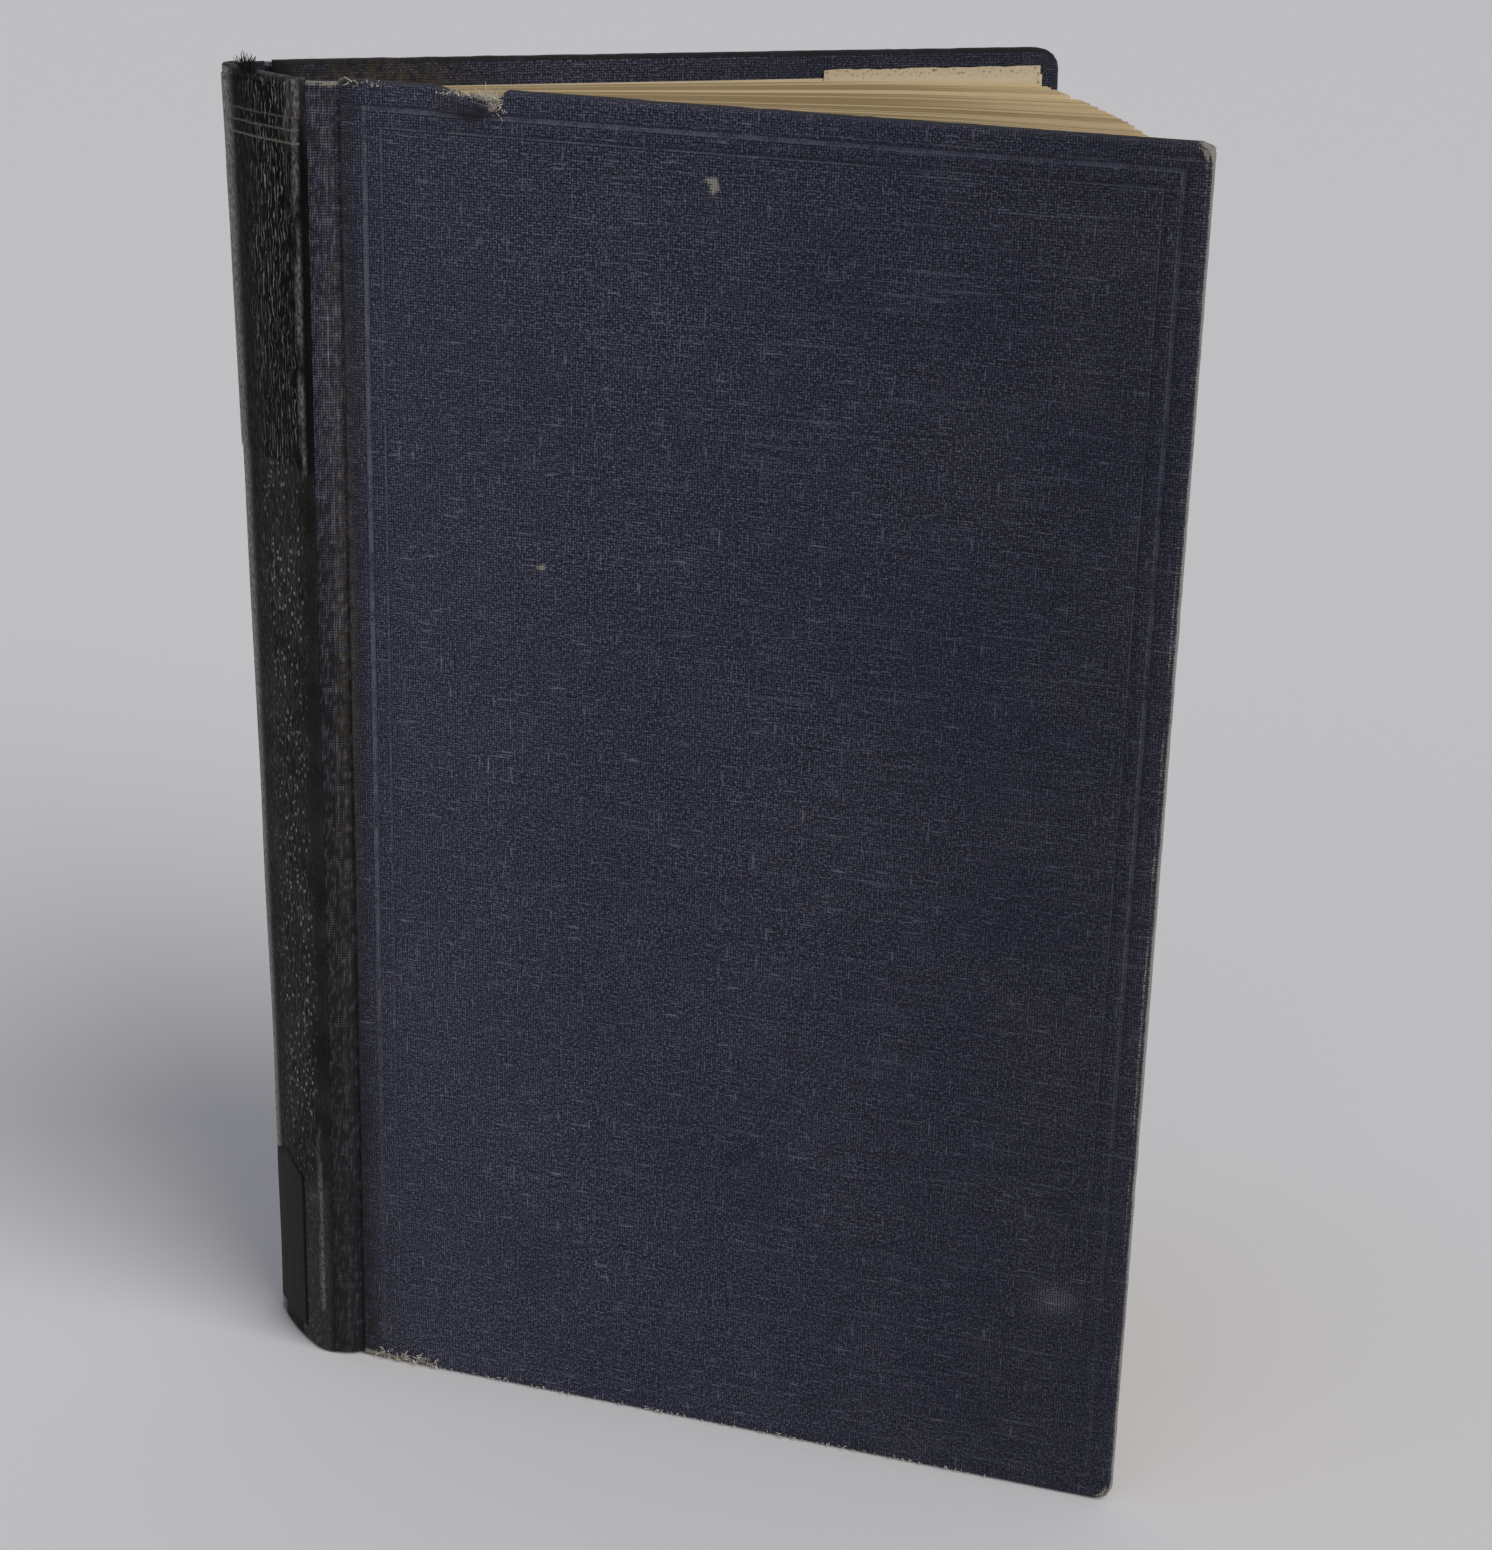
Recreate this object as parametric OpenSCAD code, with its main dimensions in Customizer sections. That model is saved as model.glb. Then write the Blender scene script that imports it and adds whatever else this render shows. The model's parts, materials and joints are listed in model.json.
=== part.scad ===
// Case-bound hardback book, standing on its tail with the front cover ajar and the leaves fanned.
// Plan layout: x runs from the back of the book to the fore-edge, y from the front cover to the
// rear cover, z up. The front hinge line is the working origin. At the end the whole book is
// turned so that the front cover faces -y, and moved so that the origin is under its middle.

/* [Covers] */
// Height of both covers, cloth included
cover_height = 235; // [180:1:320]
// Width of a cover from its joint edge to its fore-edge, cloth included
cover_width = 141.5; // [110:0.5:210]
// Thickness of a cover, cloth included
cover_thickness = 3; // [2:0.1:4.5]
// Radius of a cover's sound corners at the fore-edge
corner_radius = 1.6; // [0.8:0.1:6]
// Radius of the bumped head corner of the rear cover
bumped_corner_radius = 5.5; // [2:0.1:10]
// Bevel along the edges of a cover, where the cloth rounds the board
edge_bevel = 0.5; // [0.2:0.05:0.8]

/* [Book cloth] */
// Thickness of the book cloth
cloth_thickness = 0.4; // [0.2:0.05:0.6]
// Width of the turn-ins on the inner side of a cover
turn_in = 15; // [8:0.5:22]
// Distance of the thick blind rule from the edges of the front cover
rule_margin = 3.8; // [2:0.1:10]
// Width of the thick blind rule
thick_rule_width = 0.95; // [0.4:0.05:2]
// Bare strip between the thick and the thin blind rule
rule_gap = 1.2; // [0.6:0.1:4]
// Width of the thin blind rule
thin_rule_width = 0.4; // [0.2:0.05:1]
// Depth of the blind rules
rule_depth = 0.2; // [0.05:0.05:0.3]

/* [Joints] */
// Distance from the hinge line to the joint edge of a cover
joint_gap = 1.2; // [0.9:0.1:4]
// Half of the slit at a hinge line
hinge_slit = 0.2; // [0.1:0.05:0.3]
// Distance between the two hinge lines, across the closed book
back_width = 24.3; // [16:0.1:60]
// How far the rear hinge line sits behind the front one, because the book is cocked
cocked = 6.7; // [0:0.1:10]
// Angle between the covers as the book stands
cover_angle = 35.5; // [30:0.5:50]

/* [Leaves] */
// Height of the leaves
leaf_height = 228; // [170:1:312]
// Width of the leaves, from the fold to the fore-edge
leaf_width = 138.5; // [105:0.5:205]
// Height of the leaves' tail above the tail of the covers
tail_square = 2.4; // [1.5:0.1:6]
// Number of bunches that the standing leaves part into
bunches = 12; // [6:1:16]
// Air between bunches, as a share of one bunch's place in the fan
bunch_air = 0.13; // [0.05:0.01:0.3]
// Angle between the last leaf and the first leaf at the fore-edge
fan_angle = 25; // [10:0.5:28]
// Depth of the glued back of the leaves, which stays closed
glued_depth = 6; // [3:0.5:12]
// Length over which a leaf bends out of the gutter
gutter_bend = 45; // [20:1:70]
// Height of the backed shoulders beside the leaves
shoulder_height = 1.3; // [0.5:0.1:2]
// Thickness of an endpaper
endpaper_thickness = 0.2; // [0.15:0.05:0.4]
// Angle by which a flyleaf stands off the leaves
flyleaf_angle = 1.2; // [0.4:0.1:3]
// Space left between a flyleaf and the pastedown of a closed cover
cover_clearance = 0.45; // [0.35:0.05:1]

/* [Back] */
// Thickness of the mull on the back of the leaves
mull_thickness = 0.3; // [0.2:0.05:0.5]
// Thickness of the paper lining
lining_thickness = 0.3; // [0.15:0.05:0.6]
// Thickness of the card inlay
inlay_thickness = 0.6; // [0.3:0.05:1.2]
// Thickness of the grained covering
covering_thickness = 0.35; // [0.2:0.05:0.5]
// Depth of the covering's turn-ins at head and tail
back_turn_in = 12; // [6:0.5:20]
// Hollow between the lining and the inlay, at the middle of the back
hollow = 0.9; // [0.5:0.1:4]
// Rise of the rounded back
back_round = 0.8; // [0.2:0.1:3]
// How far the rear side of the back is pulled out at the head
head_pull = 3.9; // [0:0.1:6]
// Distance of the back's front shoulder behind the front hinge line
shoulder_reach = 7; // [6:0.1:12]
// Distance of the back's rear shoulder behind the rear hinge line, at the tail
rear_shoulder_reach = 3.9; // [3.5:0.1:8]

/* [Labels] */
// Thickness of the title panel
title_thickness = 0.2; // [0.1:0.05:0.4]
// Height of the title panel's lower edge
title_bottom = 170; // [60:1:200]
// Height of the bare strip above the title panel
title_head_gap = 1.5; // [0.5:0.5:20]
// Thickness of the tail label
tail_label_thickness = 0.2; // [0.1:0.05:0.4]
// Height of the tail label's upper edge
tail_label_top = 35.5; // [15:0.5:60]
// Height of the tail label's lower edge
tail_label_bottom = 3; // [1:0.5:10]
// Size of the clipped upper corners of the tail label
tail_label_clip = 3.4; // [1:0.1:8]

/* [Slip] */
// Width of the slip on the rear pastedown
slip_width = 41; // [20:1:90]
// Height of the slip
slip_height = 125; // [40:1:200]
// Thickness of the slip
slip_thickness = 0.15; // [0.1:0.05:0.25]
// Distance from the slip to the fore-edge of the rear pastedown
slip_margin = 0.5; // [0:0.1:36]
// How far the slip stands above the leaves
slip_rise = 1.6; // [0.5:0.1:3]

/* [Hidden] */

cloth_navy = [0.16, 0.17, 0.26];
covering_black = [0.10, 0.10, 0.10];
paper_cream = [0.78, 0.70, 0.57];
slip_paper = [0.80, 0.76, 0.66];
board_grey = [0.62, 0.58, 0.50];
mull_white = [0.85, 0.82, 0.74];

corner_steps = 6;
ridge_steps = 7;
arc_steps = 12;
bend_steps = 9;
lean_levels = 6;

// Hinge lines in plan
front_hinge = [0, 0];
rear_hinge = [-cocked, back_width];

// Thicknesses that build up between a hinge line and the leaves
lined_cover = cover_thickness + endpaper_thickness;
leaf_front_y = lined_cover + cover_clearance + endpaper_thickness;
leaf_rear_y = back_width - leaf_front_y;
block_thickness = leaf_rear_y - leaf_front_y;
leaf_head = tail_square + leaf_height;
// Fore-edge of a pastedown, which stands in from the cover as the leaves do at head and tail
pastedown_edge = joint_gap + cover_width - (cover_height - leaf_height) / 2;

// Layers of the hollow back, counted inward from its outer face
cloth_depth = covering_thickness;
inlay_depth = cloth_depth + cloth_thickness;
turned_depth = inlay_depth + inlay_thickness;
back_depth = turned_depth + covering_thickness;
fold_height = covering_thickness;

// Plan curve of the back, outermost face, from the front hinge line round to the rear one
shoulder_y = leaf_front_y + 0.5;
rear_shoulder_y = leaf_rear_y;
function lean(z) = head_pull * pow(z / cover_height, 1.5);
function front_shoulder() = [-shoulder_reach, shoulder_y];
function rear_shoulder(z) = [rear_hinge[0] - rear_shoulder_reach - lean(z), rear_shoulder_y];

function mix(a, b, t) = a + (b - a) * t;
function bezier(p, t) =
    pow(1 - t, 3) * p[0] + 3 * pow(1 - t, 2) * t * p[1] + 3 * (1 - t) * t * t * p[2] + pow(t, 3) * p[3];
function reversed(list) = [for (i = [len(list) - 1:-1:0]) list[i]];

// Ridge of cloth over each shoulder, drawn from the hinge line to the shoulder
function front_ridge() =
    let (start = front_hinge + [-hinge_slit, 0], end = front_shoulder())
    [start,
     [mix(start[0], end[0], 0.4), 0.07 * end[1]],
     [mix(start[0], end[0], 0.8), 0.33 * end[1]],
     end];
function rear_ridge(z) =
    let (start = rear_hinge + [-hinge_slit, 0], end = rear_shoulder(z), drop = start[1] - end[1])
    [start,
     [mix(start[0], end[0], 0.45), start[1] - 0.05 * drop],
     [end[0] + 0.1, start[1] - 0.34 * drop],
     end];
function round_back(z, t) =
    mix(front_shoulder(), rear_shoulder(z), t) - [back_round * 4 * t * (1 - t), 0];
function back_curve(z) =
    concat([for (i = [0:ridge_steps]) bezier(front_ridge(), i / ridge_steps)],
           [for (i = [1:arc_steps - 1]) round_back(z, i / arc_steps)],
           reversed([for (i = [0:ridge_steps]) bezier(rear_ridge(z), i / ridge_steps)]));
last_point = 2 * ridge_steps + arc_steps;

// A curve sunk inward by a depth, or one of its points
function inward(a, b) = let (d = (b - a) / norm(b - a)) [d[1], -d[0]];
function sunk(curve, i, depth) =
    curve[i] + depth * inward(curve[max(i - 1, 0)], curve[min(i + 1, len(curve) - 1)]);
function moved(curve, depth) = [for (i = [0:len(curve) - 1]) sunk(curve, i, depth)];
function part_of(curve, first, last) = [for (i = [first:last]) curve[i]];

// Heights at which the leaning pieces have their corners, shared so that their faces meet
mull_low = tail_square + back_turn_in;
mull_high = leaf_head - back_turn_in;
function sorted(list) =
    len(list) < 2 ? list :
    let (pivot = list[0], rest = part_of(list, 1, len(list) - 1))
    concat(sorted([for (z = rest) if (z < pivot) z]), [pivot], sorted([for (z = rest) if (z >= pivot) z]));
all_levels = sorted(concat([for (k = [0:lean_levels]) cover_height * k / lean_levels],
                           [fold_height, cover_height - fold_height],
                           [back_turn_in, cover_height - back_turn_in],
                           [mull_low, mull_high],
                           [tail_label_bottom, tail_label_top],
                           [title_bottom, cover_height - title_head_gap]));
level_step = 0.02;
function levels(from, to) =
    [for (i = [0:len(all_levels) - 1])
        let (z = all_levels[i], fresh = i == 0 || z - all_levels[i - 1] > level_step)
        if (fresh && z > from - level_step && z < to + level_step) z];

// First and last column of the covering and of the round part of the back
covering_first = round(ridge_steps * 0.55);
covering_last = last_point - covering_first;
round_first = ridge_steps;
round_last = last_point - ridge_steps;
// The cloth rises to the outer face between the covering and a hinge line
function cloth_rise(i) = min(1, i / covering_first, (last_point - i) / covering_first);
function at_height(p, z) = [p[0], p[1], z];
function back_point(i, z, depth) = at_height(sunk(back_curve(z), i, depth), z);

// Leaves in plan: each leaves the fold square to the back, then bends to its heading in the fan
back_gap = back_depth + hollow + lining_thickness + mull_thickness;
function fold(t) =
    let (y = mix(leaf_front_y, leaf_rear_y, t),
         s = (y - shoulder_y) / (rear_shoulder_y - shoulder_y))
    [mix(-shoulder_reach, rear_hinge[0] - rear_shoulder_reach, s)
        - back_round * 4 * t * (1 - t) * 0.8 + back_gap, y];
function heading(t) = -fan_angle * (1 - t);
// A leaf runs straight, bends and runs straight again
function bend(angle, share) =
    abs(angle) < 0.01
        ? [gutter_bend * share, 0]
        : let (radius = gutter_bend * 180 / PI / abs(angle), a = abs(angle) * share)
          radius * [sin(a), (angle < 0 ? -1 : 1) * (1 - cos(a))];
function leaf_curve(start, angle, straight, length) =
    let (bent = start + [straight, 0])
    concat([start],
           [for (i = [0:bend_steps]) bent + bend(angle, i / bend_steps)],
           [bent + bend(angle, 1) + (length - straight - gutter_bend) * [cos(angle), sin(angle)]]);
function leaf_at(t) = leaf_curve(fold(t), heading(t), glued_depth, leaf_width);
function leaf_edge(t) = part_of(leaf_at(t), 1, bend_steps + 2);

// Back of the block with its shoulders, from the front face round to the rear face
shoulder_lip = 2.2;
flyleaf_start = shoulder_lip + 0.3;
function block_back() =
    let (front = fold(0), rear = fold(1))
    concat([front + [shoulder_lip, 0],
            front + [0.7, -shoulder_height],
            front + [-0.4, -0.8 * shoulder_height]],
           [for (i = [1:arc_steps - 1]) fold(i / arc_steps)],
           [rear + [-0.4, 0.8 * shoulder_height],
            rear + [0.7, shoulder_height],
            rear + [shoulder_lip, 0]]);
tip_first = 1;
tip_last = arc_steps + 3;

// A plate of a cover in its own place: x from the hinge line, y inward from the outer face, z up
module cover_plate(inset, from_y, to_y, head_radius) {
    x0 = joint_gap + inset;
    x1 = joint_gap + cover_width - inset;
    z0 = inset;
    z1 = cover_height - inset;
    tail_r = max(corner_radius - inset, 0.3);
    head_r = max(head_radius - inset, 0.3);
    outline = concat([[x0, z0]],
                     [for (i = [0:corner_steps])
                         let (a = -90 + 90 * i / corner_steps)
                         [x1 - tail_r + tail_r * cos(a), z0 + tail_r + tail_r * sin(a)]],
                     [for (i = [0:corner_steps])
                         let (a = 90 * i / corner_steps)
                         [x1 - head_r + head_r * cos(a), z1 - head_r + head_r * sin(a)]],
                     [[x0, z1]]);
    translate([0, to_y, 0])
        rotate([90, 0, 0])
            linear_extrude(to_y - from_y)
                polygon(outline);
}

// Box given by its two corners
module block(low, high) {
    translate(low)
        cube(high - low);
}

// Slightly bevelled outside of a cover
module cover_outside(head_radius) {
    hull() {
        cover_plate(edge_bevel, 0, cover_thickness, head_radius);
        cover_plate(0, edge_bevel, cover_thickness - edge_bevel, head_radius);
    }
}

module board(head_radius) {
    cover_plate(cloth_thickness, cloth_thickness, cover_thickness - cloth_thickness, head_radius);
}

// Cloth round a board: skin, wrapped edges, turn-ins and the short lip towards the joint
module cover_cloth(head_radius) {
    inner_face = cover_thickness - cloth_thickness;
    window_low = [joint_gap - 1, inner_face - 0.1, turn_in];
    window_high = [joint_gap + cover_width - turn_in, cover_thickness + 1, cover_height - turn_in];
    difference() {
        union() {
            cover_outside(head_radius);
            block([hinge_slit, 0, 0], [joint_gap + 1, cloth_thickness, cover_height]);
        }
        board(head_radius);
        block([joint_gap - 1, cloth_thickness, cloth_thickness],
              [joint_gap + cloth_thickness + 0.1, inner_face, cover_height - cloth_thickness]);
        block(window_low, window_high);
    }
}

// Rectangular frame of a blind rule, sunk into the outer face
module blind_rule(margin, width) {
    low = [joint_gap + margin, -1, margin];
    high = [joint_gap + cover_width - margin, rule_depth, cover_height - margin];
    difference() {
        block(low, high);
        block(low + [width, -1, width], high + [-width, 1, -width]);
    }
}

// Pasted half of an endpaper: it climbs over the turn-ins and sinks to the board between them
module pastedown() {
    board_face = cover_thickness - cloth_thickness;
    x0 = joint_gap + 0.3;
    x1 = pastedown_edge;
    window_x = joint_gap + cover_width - turn_in;
    window_z0 = turn_in;
    window_z1 = cover_height - turn_in;
    e = endpaper_thickness;
    difference() {
        block([x0, board_face, tail_square], [x1, cover_thickness + e, leaf_head]);
        difference() {
            block([x0 - 1, board_face - 1, tail_square - 1], [x1 + 1, cover_thickness, leaf_head + 1]);
            block([x0 - 2, board_face - 2, window_z0], [window_x, cover_thickness + 1, window_z1]);
        }
        block([x0 - 1, board_face + e, window_z0 + e], [window_x - e, cover_thickness + 1, window_z1 - e]);
    }
}

module slip() {
    x1 = pastedown_edge - slip_margin;
    z1 = leaf_head + slip_rise;
    face = cover_thickness + endpaper_thickness;
    block([x1 - slip_width, face, z1 - slip_height], [x1, face + slip_thickness, z1]);
}

// Sheet lofted over columns of pairs, each an outer and an inner point. Every facet is split from
// the lower end of one column to the upper end of the column before it, so that sheets which
// share points lie on each other exactly.
module lofted(columns) {
    rows = len(columns[0]);
    last = len(columns) - 1;
    top = rows - 1;
    function at(i, k, side) = 2 * (i * rows + k) + side;
    points = [for (column = columns) for (pair = column) for (p = pair) p];
    function split(q, rising) = rising ? q : [q[1], q[2], q[3], q[0]];
    faces = [for (i = [0:last - 1]) for (k = [0:top - 1])
        let (rising = columns[i][k + 1][0][2] > columns[i][k][0][2])
        for (q = [[at(i + 1, k, 0), at(i + 1, k + 1, 0), at(i, k + 1, 0), at(i, k, 0)],
                  [at(i, k + 1, 1), at(i + 1, k + 1, 1), at(i + 1, k, 1), at(i, k, 1)]])
            split(q, rising)];
    foot = [for (i = [0:last - 1]) [at(i + 1, 0, 0), at(i, 0, 0), at(i, 0, 1), at(i + 1, 0, 1)]];
    head = [for (i = [0:last - 1]) [at(i, top, 0), at(i + 1, top, 0), at(i + 1, top, 1), at(i, top, 1)]];
    start = [for (k = [0:top - 1]) [at(0, k, 0), at(0, k + 1, 0), at(0, k + 1, 1), at(0, k, 1)]];
    end = [for (k = [0:top - 1]) [at(last, k + 1, 0), at(last, k, 0), at(last, k, 1), at(last, k + 1, 1)]];
    quads = concat(faces, foot, head, start, end);
    polyhedron(points, [for (q = quads) for (f = [[q[0], q[1], q[2]], [q[0], q[2], q[3]]]) f]);
}

// Wall that follows the leaning back between two depths
module back_wall(first, last, outer, inner, from_z, to_z) {
    lofted([for (i = [first:last])
        [for (z = levels(from_z, to_z)) [back_point(i, z, outer), back_point(i, z, inner)]]]);
}

module place_front() {
    rotate([0, 0, -cover_angle])
        children();
}

module place_rear() {
    translate([rear_hinge[0], rear_hinge[1], 0])
        mirror([0, 1, 0])
            children();
}

// Turn the book to face the viewer and centre it over its footprint
function turned(p) = [p[0] * cos(cover_angle) - p[1] * sin(cover_angle),
                      p[0] * sin(cover_angle) + p[1] * cos(cover_angle)];
back_at_head = [for (p = moved(back_curve(cover_height), -title_thickness)) turned(p)];
rear_corner = turned(rear_hinge + [joint_gap + cover_width, 0]);
left_x = min([for (p = back_at_head) p[0]]);
right_x = joint_gap + cover_width;
front_y = min([for (p = back_at_head) p[1]]);
middle = [(left_x + right_x) / 2, (front_y + rear_corner[1]) / 2];
module stand() {
    translate([-middle[0], -middle[1], 0])
        rotate([0, 0, cover_angle])
            children();
}

module text_block() {
    share = 1 / bunches;
    teeth = [for (i = [bunches - 1:-1:0])
        let (low = i == 0 ? 0 : (i + bunch_air) * share,
             high = i == bunches - 1 ? 1 : (i + 1 - bunch_air) * share)
        for (p = concat(leaf_edge(high), reversed(leaf_edge(low)))) p];
    color(paper_cream)
        translate([0, 0, tail_square])
            linear_extrude(leaf_height)
                polygon(concat(block_back(), teeth));
}

module flyleaf(side) {
    start = side < 0 ? fold(0) : fold(1);
    angle = side < 0 ? heading(0) - flyleaf_angle : heading(1);
    sheet = leaf_curve(start + [flyleaf_start, side * endpaper_thickness / 2], angle,
                       glued_depth - flyleaf_start, leaf_width - flyleaf_start);
    half = endpaper_thickness / 2;
    translate([0, 0, tail_square])
        linear_extrude(leaf_height)
            polygon(concat(moved(sheet, -half), reversed(moved(sheet, half))));
}

module front_flyleaf() {
    color(paper_cream) flyleaf(-1);
}

module rear_flyleaf() {
    color(paper_cream) flyleaf(1);
}

// It lies on the back of the leaves, and its wings bend over to the cloth beside the hinge lines.
// The rear wing turns back sharply, so its inner corner sits a little nearer to the hinge line.
module mull() {
    block = block_back();
    rear_wing = last_point - 2;
    sharp_turn = 0.35;
    function on_cloth(i) = inlay_depth + covering_thickness * (cloth_rise(i) - 1);
    function wing_pair(i, z, turn) =
        let (below = on_cloth(i) + mull_thickness, next = on_cloth(i + 1) + mull_thickness)
        [back_point(i, z, on_cloth(i)), mix(back_point(i, z, below), back_point(i + 1, z, next), turn)];
    function wing_column(i, turn) = [for (z = levels(mull_low, mull_high)) wing_pair(i, z, turn)];
    color(mull_white)
        lofted(concat([for (i = [1:2]) wing_column(i, 0)],
                      [for (i = [tip_first:tip_last - 1])
                          [for (z = levels(mull_low, mull_high))
                              [at_height(sunk(block, i, -mull_thickness), z), at_height(block[i], z)]]],
                      [wing_column(rear_wing, sharp_turn), wing_column(rear_wing + 1, 0)]));
}

module spine_lining() {
    function layer(depth) = part_of(moved(block_back(), -depth), tip_first + 2, tip_last - 2);
    color(paper_cream)
        translate([0, 0, tail_square])
            linear_extrude(leaf_height)
                polygon(concat(layer(mull_thickness + lining_thickness), reversed(layer(mull_thickness))));
}

module spine_inlay() {
    color(board_grey)
        back_wall(round_first, round_last, inlay_depth, turned_depth,
                  fold_height, cover_height - fold_height);
}

module spine_cloth() {
    color(cloth_navy)
        lofted([for (i = [0:last_point])
            let (depth = covering_thickness * cloth_rise(i))
            [for (z = levels(fold_height, cover_height - fold_height))
                [back_point(i, z, depth), back_point(i, z, depth + cloth_thickness)]]]);
}

// One sheet: up the inside of the tail, over the back and down the inside of the head
module spine_covering() {
    function under(i) = i < round_first || i > round_last ? inlay_depth : turned_depth;
    function pair(i, z_out, z_in, out, in) = [back_point(i, z_out, out), back_point(i, z_in, in)];
    function turned_in(i, zs) =
        [for (z = zs) pair(i, z, z, under(i) + covering_thickness, under(i))];
    function folded(i, edge, inner_edge) =
        pair(i, edge, inner_edge, under(i) + covering_thickness, under(i));
    low = levels(fold_height + 1, back_turn_in);
    wall = levels(fold_height + 1, cover_height - fold_height - 1);
    high = levels(cover_height - back_turn_in, cover_height - fold_height - 1);
    color(covering_black)
        lofted([for (i = [covering_first:covering_last])
            concat(turned_in(i, reversed(low)),
                   [folded(i, 0, fold_height)],
                   [pair(i, 0, fold_height, 0, cloth_depth)],
                   [for (z = wall) pair(i, z, z, 0, cloth_depth)],
                   [pair(i, cover_height, cover_height - fold_height, 0, cloth_depth)],
                   [folded(i, cover_height, cover_height - fold_height)],
                   turned_in(i, reversed(high)))]);
}

module title_label() {
    color(covering_black)
        back_wall(covering_first + 1, covering_last - 1, -title_thickness, 0,
                  title_bottom, cover_height - title_head_gap);
}

// Label with clipped upper corners: its outer columns end lower
module tail_label() {
    glue = 0.01;
    first = round_first + 2;
    last = round_last - 2;
    function clipped(i, z) =
        let (cut = tail_label_clip * max(0, 1 - (i - first) / 2, 1 - (last - i) / 2))
        mix(tail_label_bottom, tail_label_top - cut,
            (z - tail_label_bottom) / (tail_label_top - tail_label_bottom));
    color([0.17, 0.17, 0.17])
        lofted([for (i = [first:last])
            [for (level = levels(tail_label_bottom, tail_label_top))
                let (z = clipped(i, level))
                [back_point(i, z, -glue - tail_label_thickness), back_point(i, z, -glue)]]]);
}

module front_board() {
    color(board_grey) board(corner_radius);
}

module front_cloth() {
    inner_margin = rule_margin + thick_rule_width + rule_gap;
    color(cloth_navy)
        difference() {
            cover_cloth(corner_radius);
            blind_rule(rule_margin, thick_rule_width);
            blind_rule(inner_margin, thin_rule_width);
        }
}

module front_pastedown() {
    color(paper_cream) pastedown();
}

module rear_board() {
    color(board_grey) board(bumped_corner_radius);
}

module rear_cloth() {
    color(cloth_navy) cover_cloth(bumped_corner_radius);
}

module rear_pastedown() {
    color(paper_cream) pastedown();
}

module rear_slip() {
    color(slip_paper) slip();
}

stand() text_block();
stand() front_flyleaf();
stand() rear_flyleaf();
stand() mull();
stand() spine_lining();
stand() spine_inlay();
stand() spine_cloth();
stand() spine_covering();
stand() title_label();
stand() tail_label();
stand() place_front() front_board();
stand() place_front() front_cloth();
stand() place_front() front_pastedown();
stand() place_rear() rear_board();
stand() place_rear() rear_cloth();
stand() place_rear() rear_pastedown();
stand() place_rear() rear_slip();
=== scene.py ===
"""Dresses the old hardback book: worn cloth, grained spine, aged leaves, light and camera."""
import json
import logging
import math
from dataclasses import dataclass, field
from enum import Enum
from typing import Sequence

import bpy
import numpy as np
from mathutils import Matrix, Vector


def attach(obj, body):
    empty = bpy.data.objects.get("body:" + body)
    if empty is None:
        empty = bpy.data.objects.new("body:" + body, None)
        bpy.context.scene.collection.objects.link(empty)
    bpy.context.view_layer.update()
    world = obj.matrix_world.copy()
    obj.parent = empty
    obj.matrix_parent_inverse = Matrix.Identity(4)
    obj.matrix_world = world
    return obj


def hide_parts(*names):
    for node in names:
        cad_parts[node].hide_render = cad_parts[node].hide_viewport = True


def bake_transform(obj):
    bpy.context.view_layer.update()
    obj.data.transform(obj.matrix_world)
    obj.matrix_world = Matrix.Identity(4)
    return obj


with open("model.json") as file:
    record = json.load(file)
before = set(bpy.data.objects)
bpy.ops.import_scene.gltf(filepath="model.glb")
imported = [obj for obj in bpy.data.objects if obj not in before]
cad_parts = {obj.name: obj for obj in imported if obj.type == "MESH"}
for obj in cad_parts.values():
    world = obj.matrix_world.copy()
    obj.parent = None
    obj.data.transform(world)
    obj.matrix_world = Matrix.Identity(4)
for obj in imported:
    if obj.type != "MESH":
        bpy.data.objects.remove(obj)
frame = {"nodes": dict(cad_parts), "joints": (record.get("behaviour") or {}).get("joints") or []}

log = logging.getLogger("book")
Array = np.ndarray
Material = bpy.types.Material
Thing = bpy.types.Object
Colour = tuple[float, float, float]
MM = 0.001


def srgb(red: float, green: float, blue: float) -> Colour:
    """Turns display values from 0 to 255 into a linear colour."""
    values = (red / 255, green / 255, blue / 255)
    return tuple(v / 12.92 if v <= 0.04045 else ((v + 0.055) / 1.055) ** 2.4 for v in values)


def ramp(value: Array, low: float, high: float) -> Array:
    """Smooth step from 0 at low to 1 at high."""
    t = np.clip((np.asarray(value, float) - low) / (high - low), 0, 1)
    return t * t * (3 - 2 * t)


def band(value: Array, middle: float, reach: float) -> Array:
    """Soft line: 1 in its middle, fading over its reach."""
    return np.exp(-((value - middle) / reach) ** 2)


def spot(x: Array, z: Array, middle: tuple[float, float], reach: tuple[float, float]) -> Array:
    """Soft spot: 1 in its middle, fading over its reach both ways."""
    return band(x, middle[0], reach[0]) * band(z, middle[1], reach[1])


def bezier(t: Array, a: float, b: float, c: float, d: float) -> Array:
    """Cubic curve with four control values."""
    return (1 - t) ** 3 * a + 3 * (1 - t) ** 2 * t * b + 3 * (1 - t) * t * t * c + t ** 3 * d


def joined(x: Array, y: Array) -> Array:
    """Joins two coordinates as the last axis."""
    return np.stack(np.broadcast_arrays(x, y), -1)


def outline(grid: Array) -> Array:
    """Outermost entries of a grid, once round it."""
    return np.concatenate([grid[0, :-1], grid[:-1, -1], grid[-1, :0:-1], grid[:0:-1, 0]])


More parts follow.
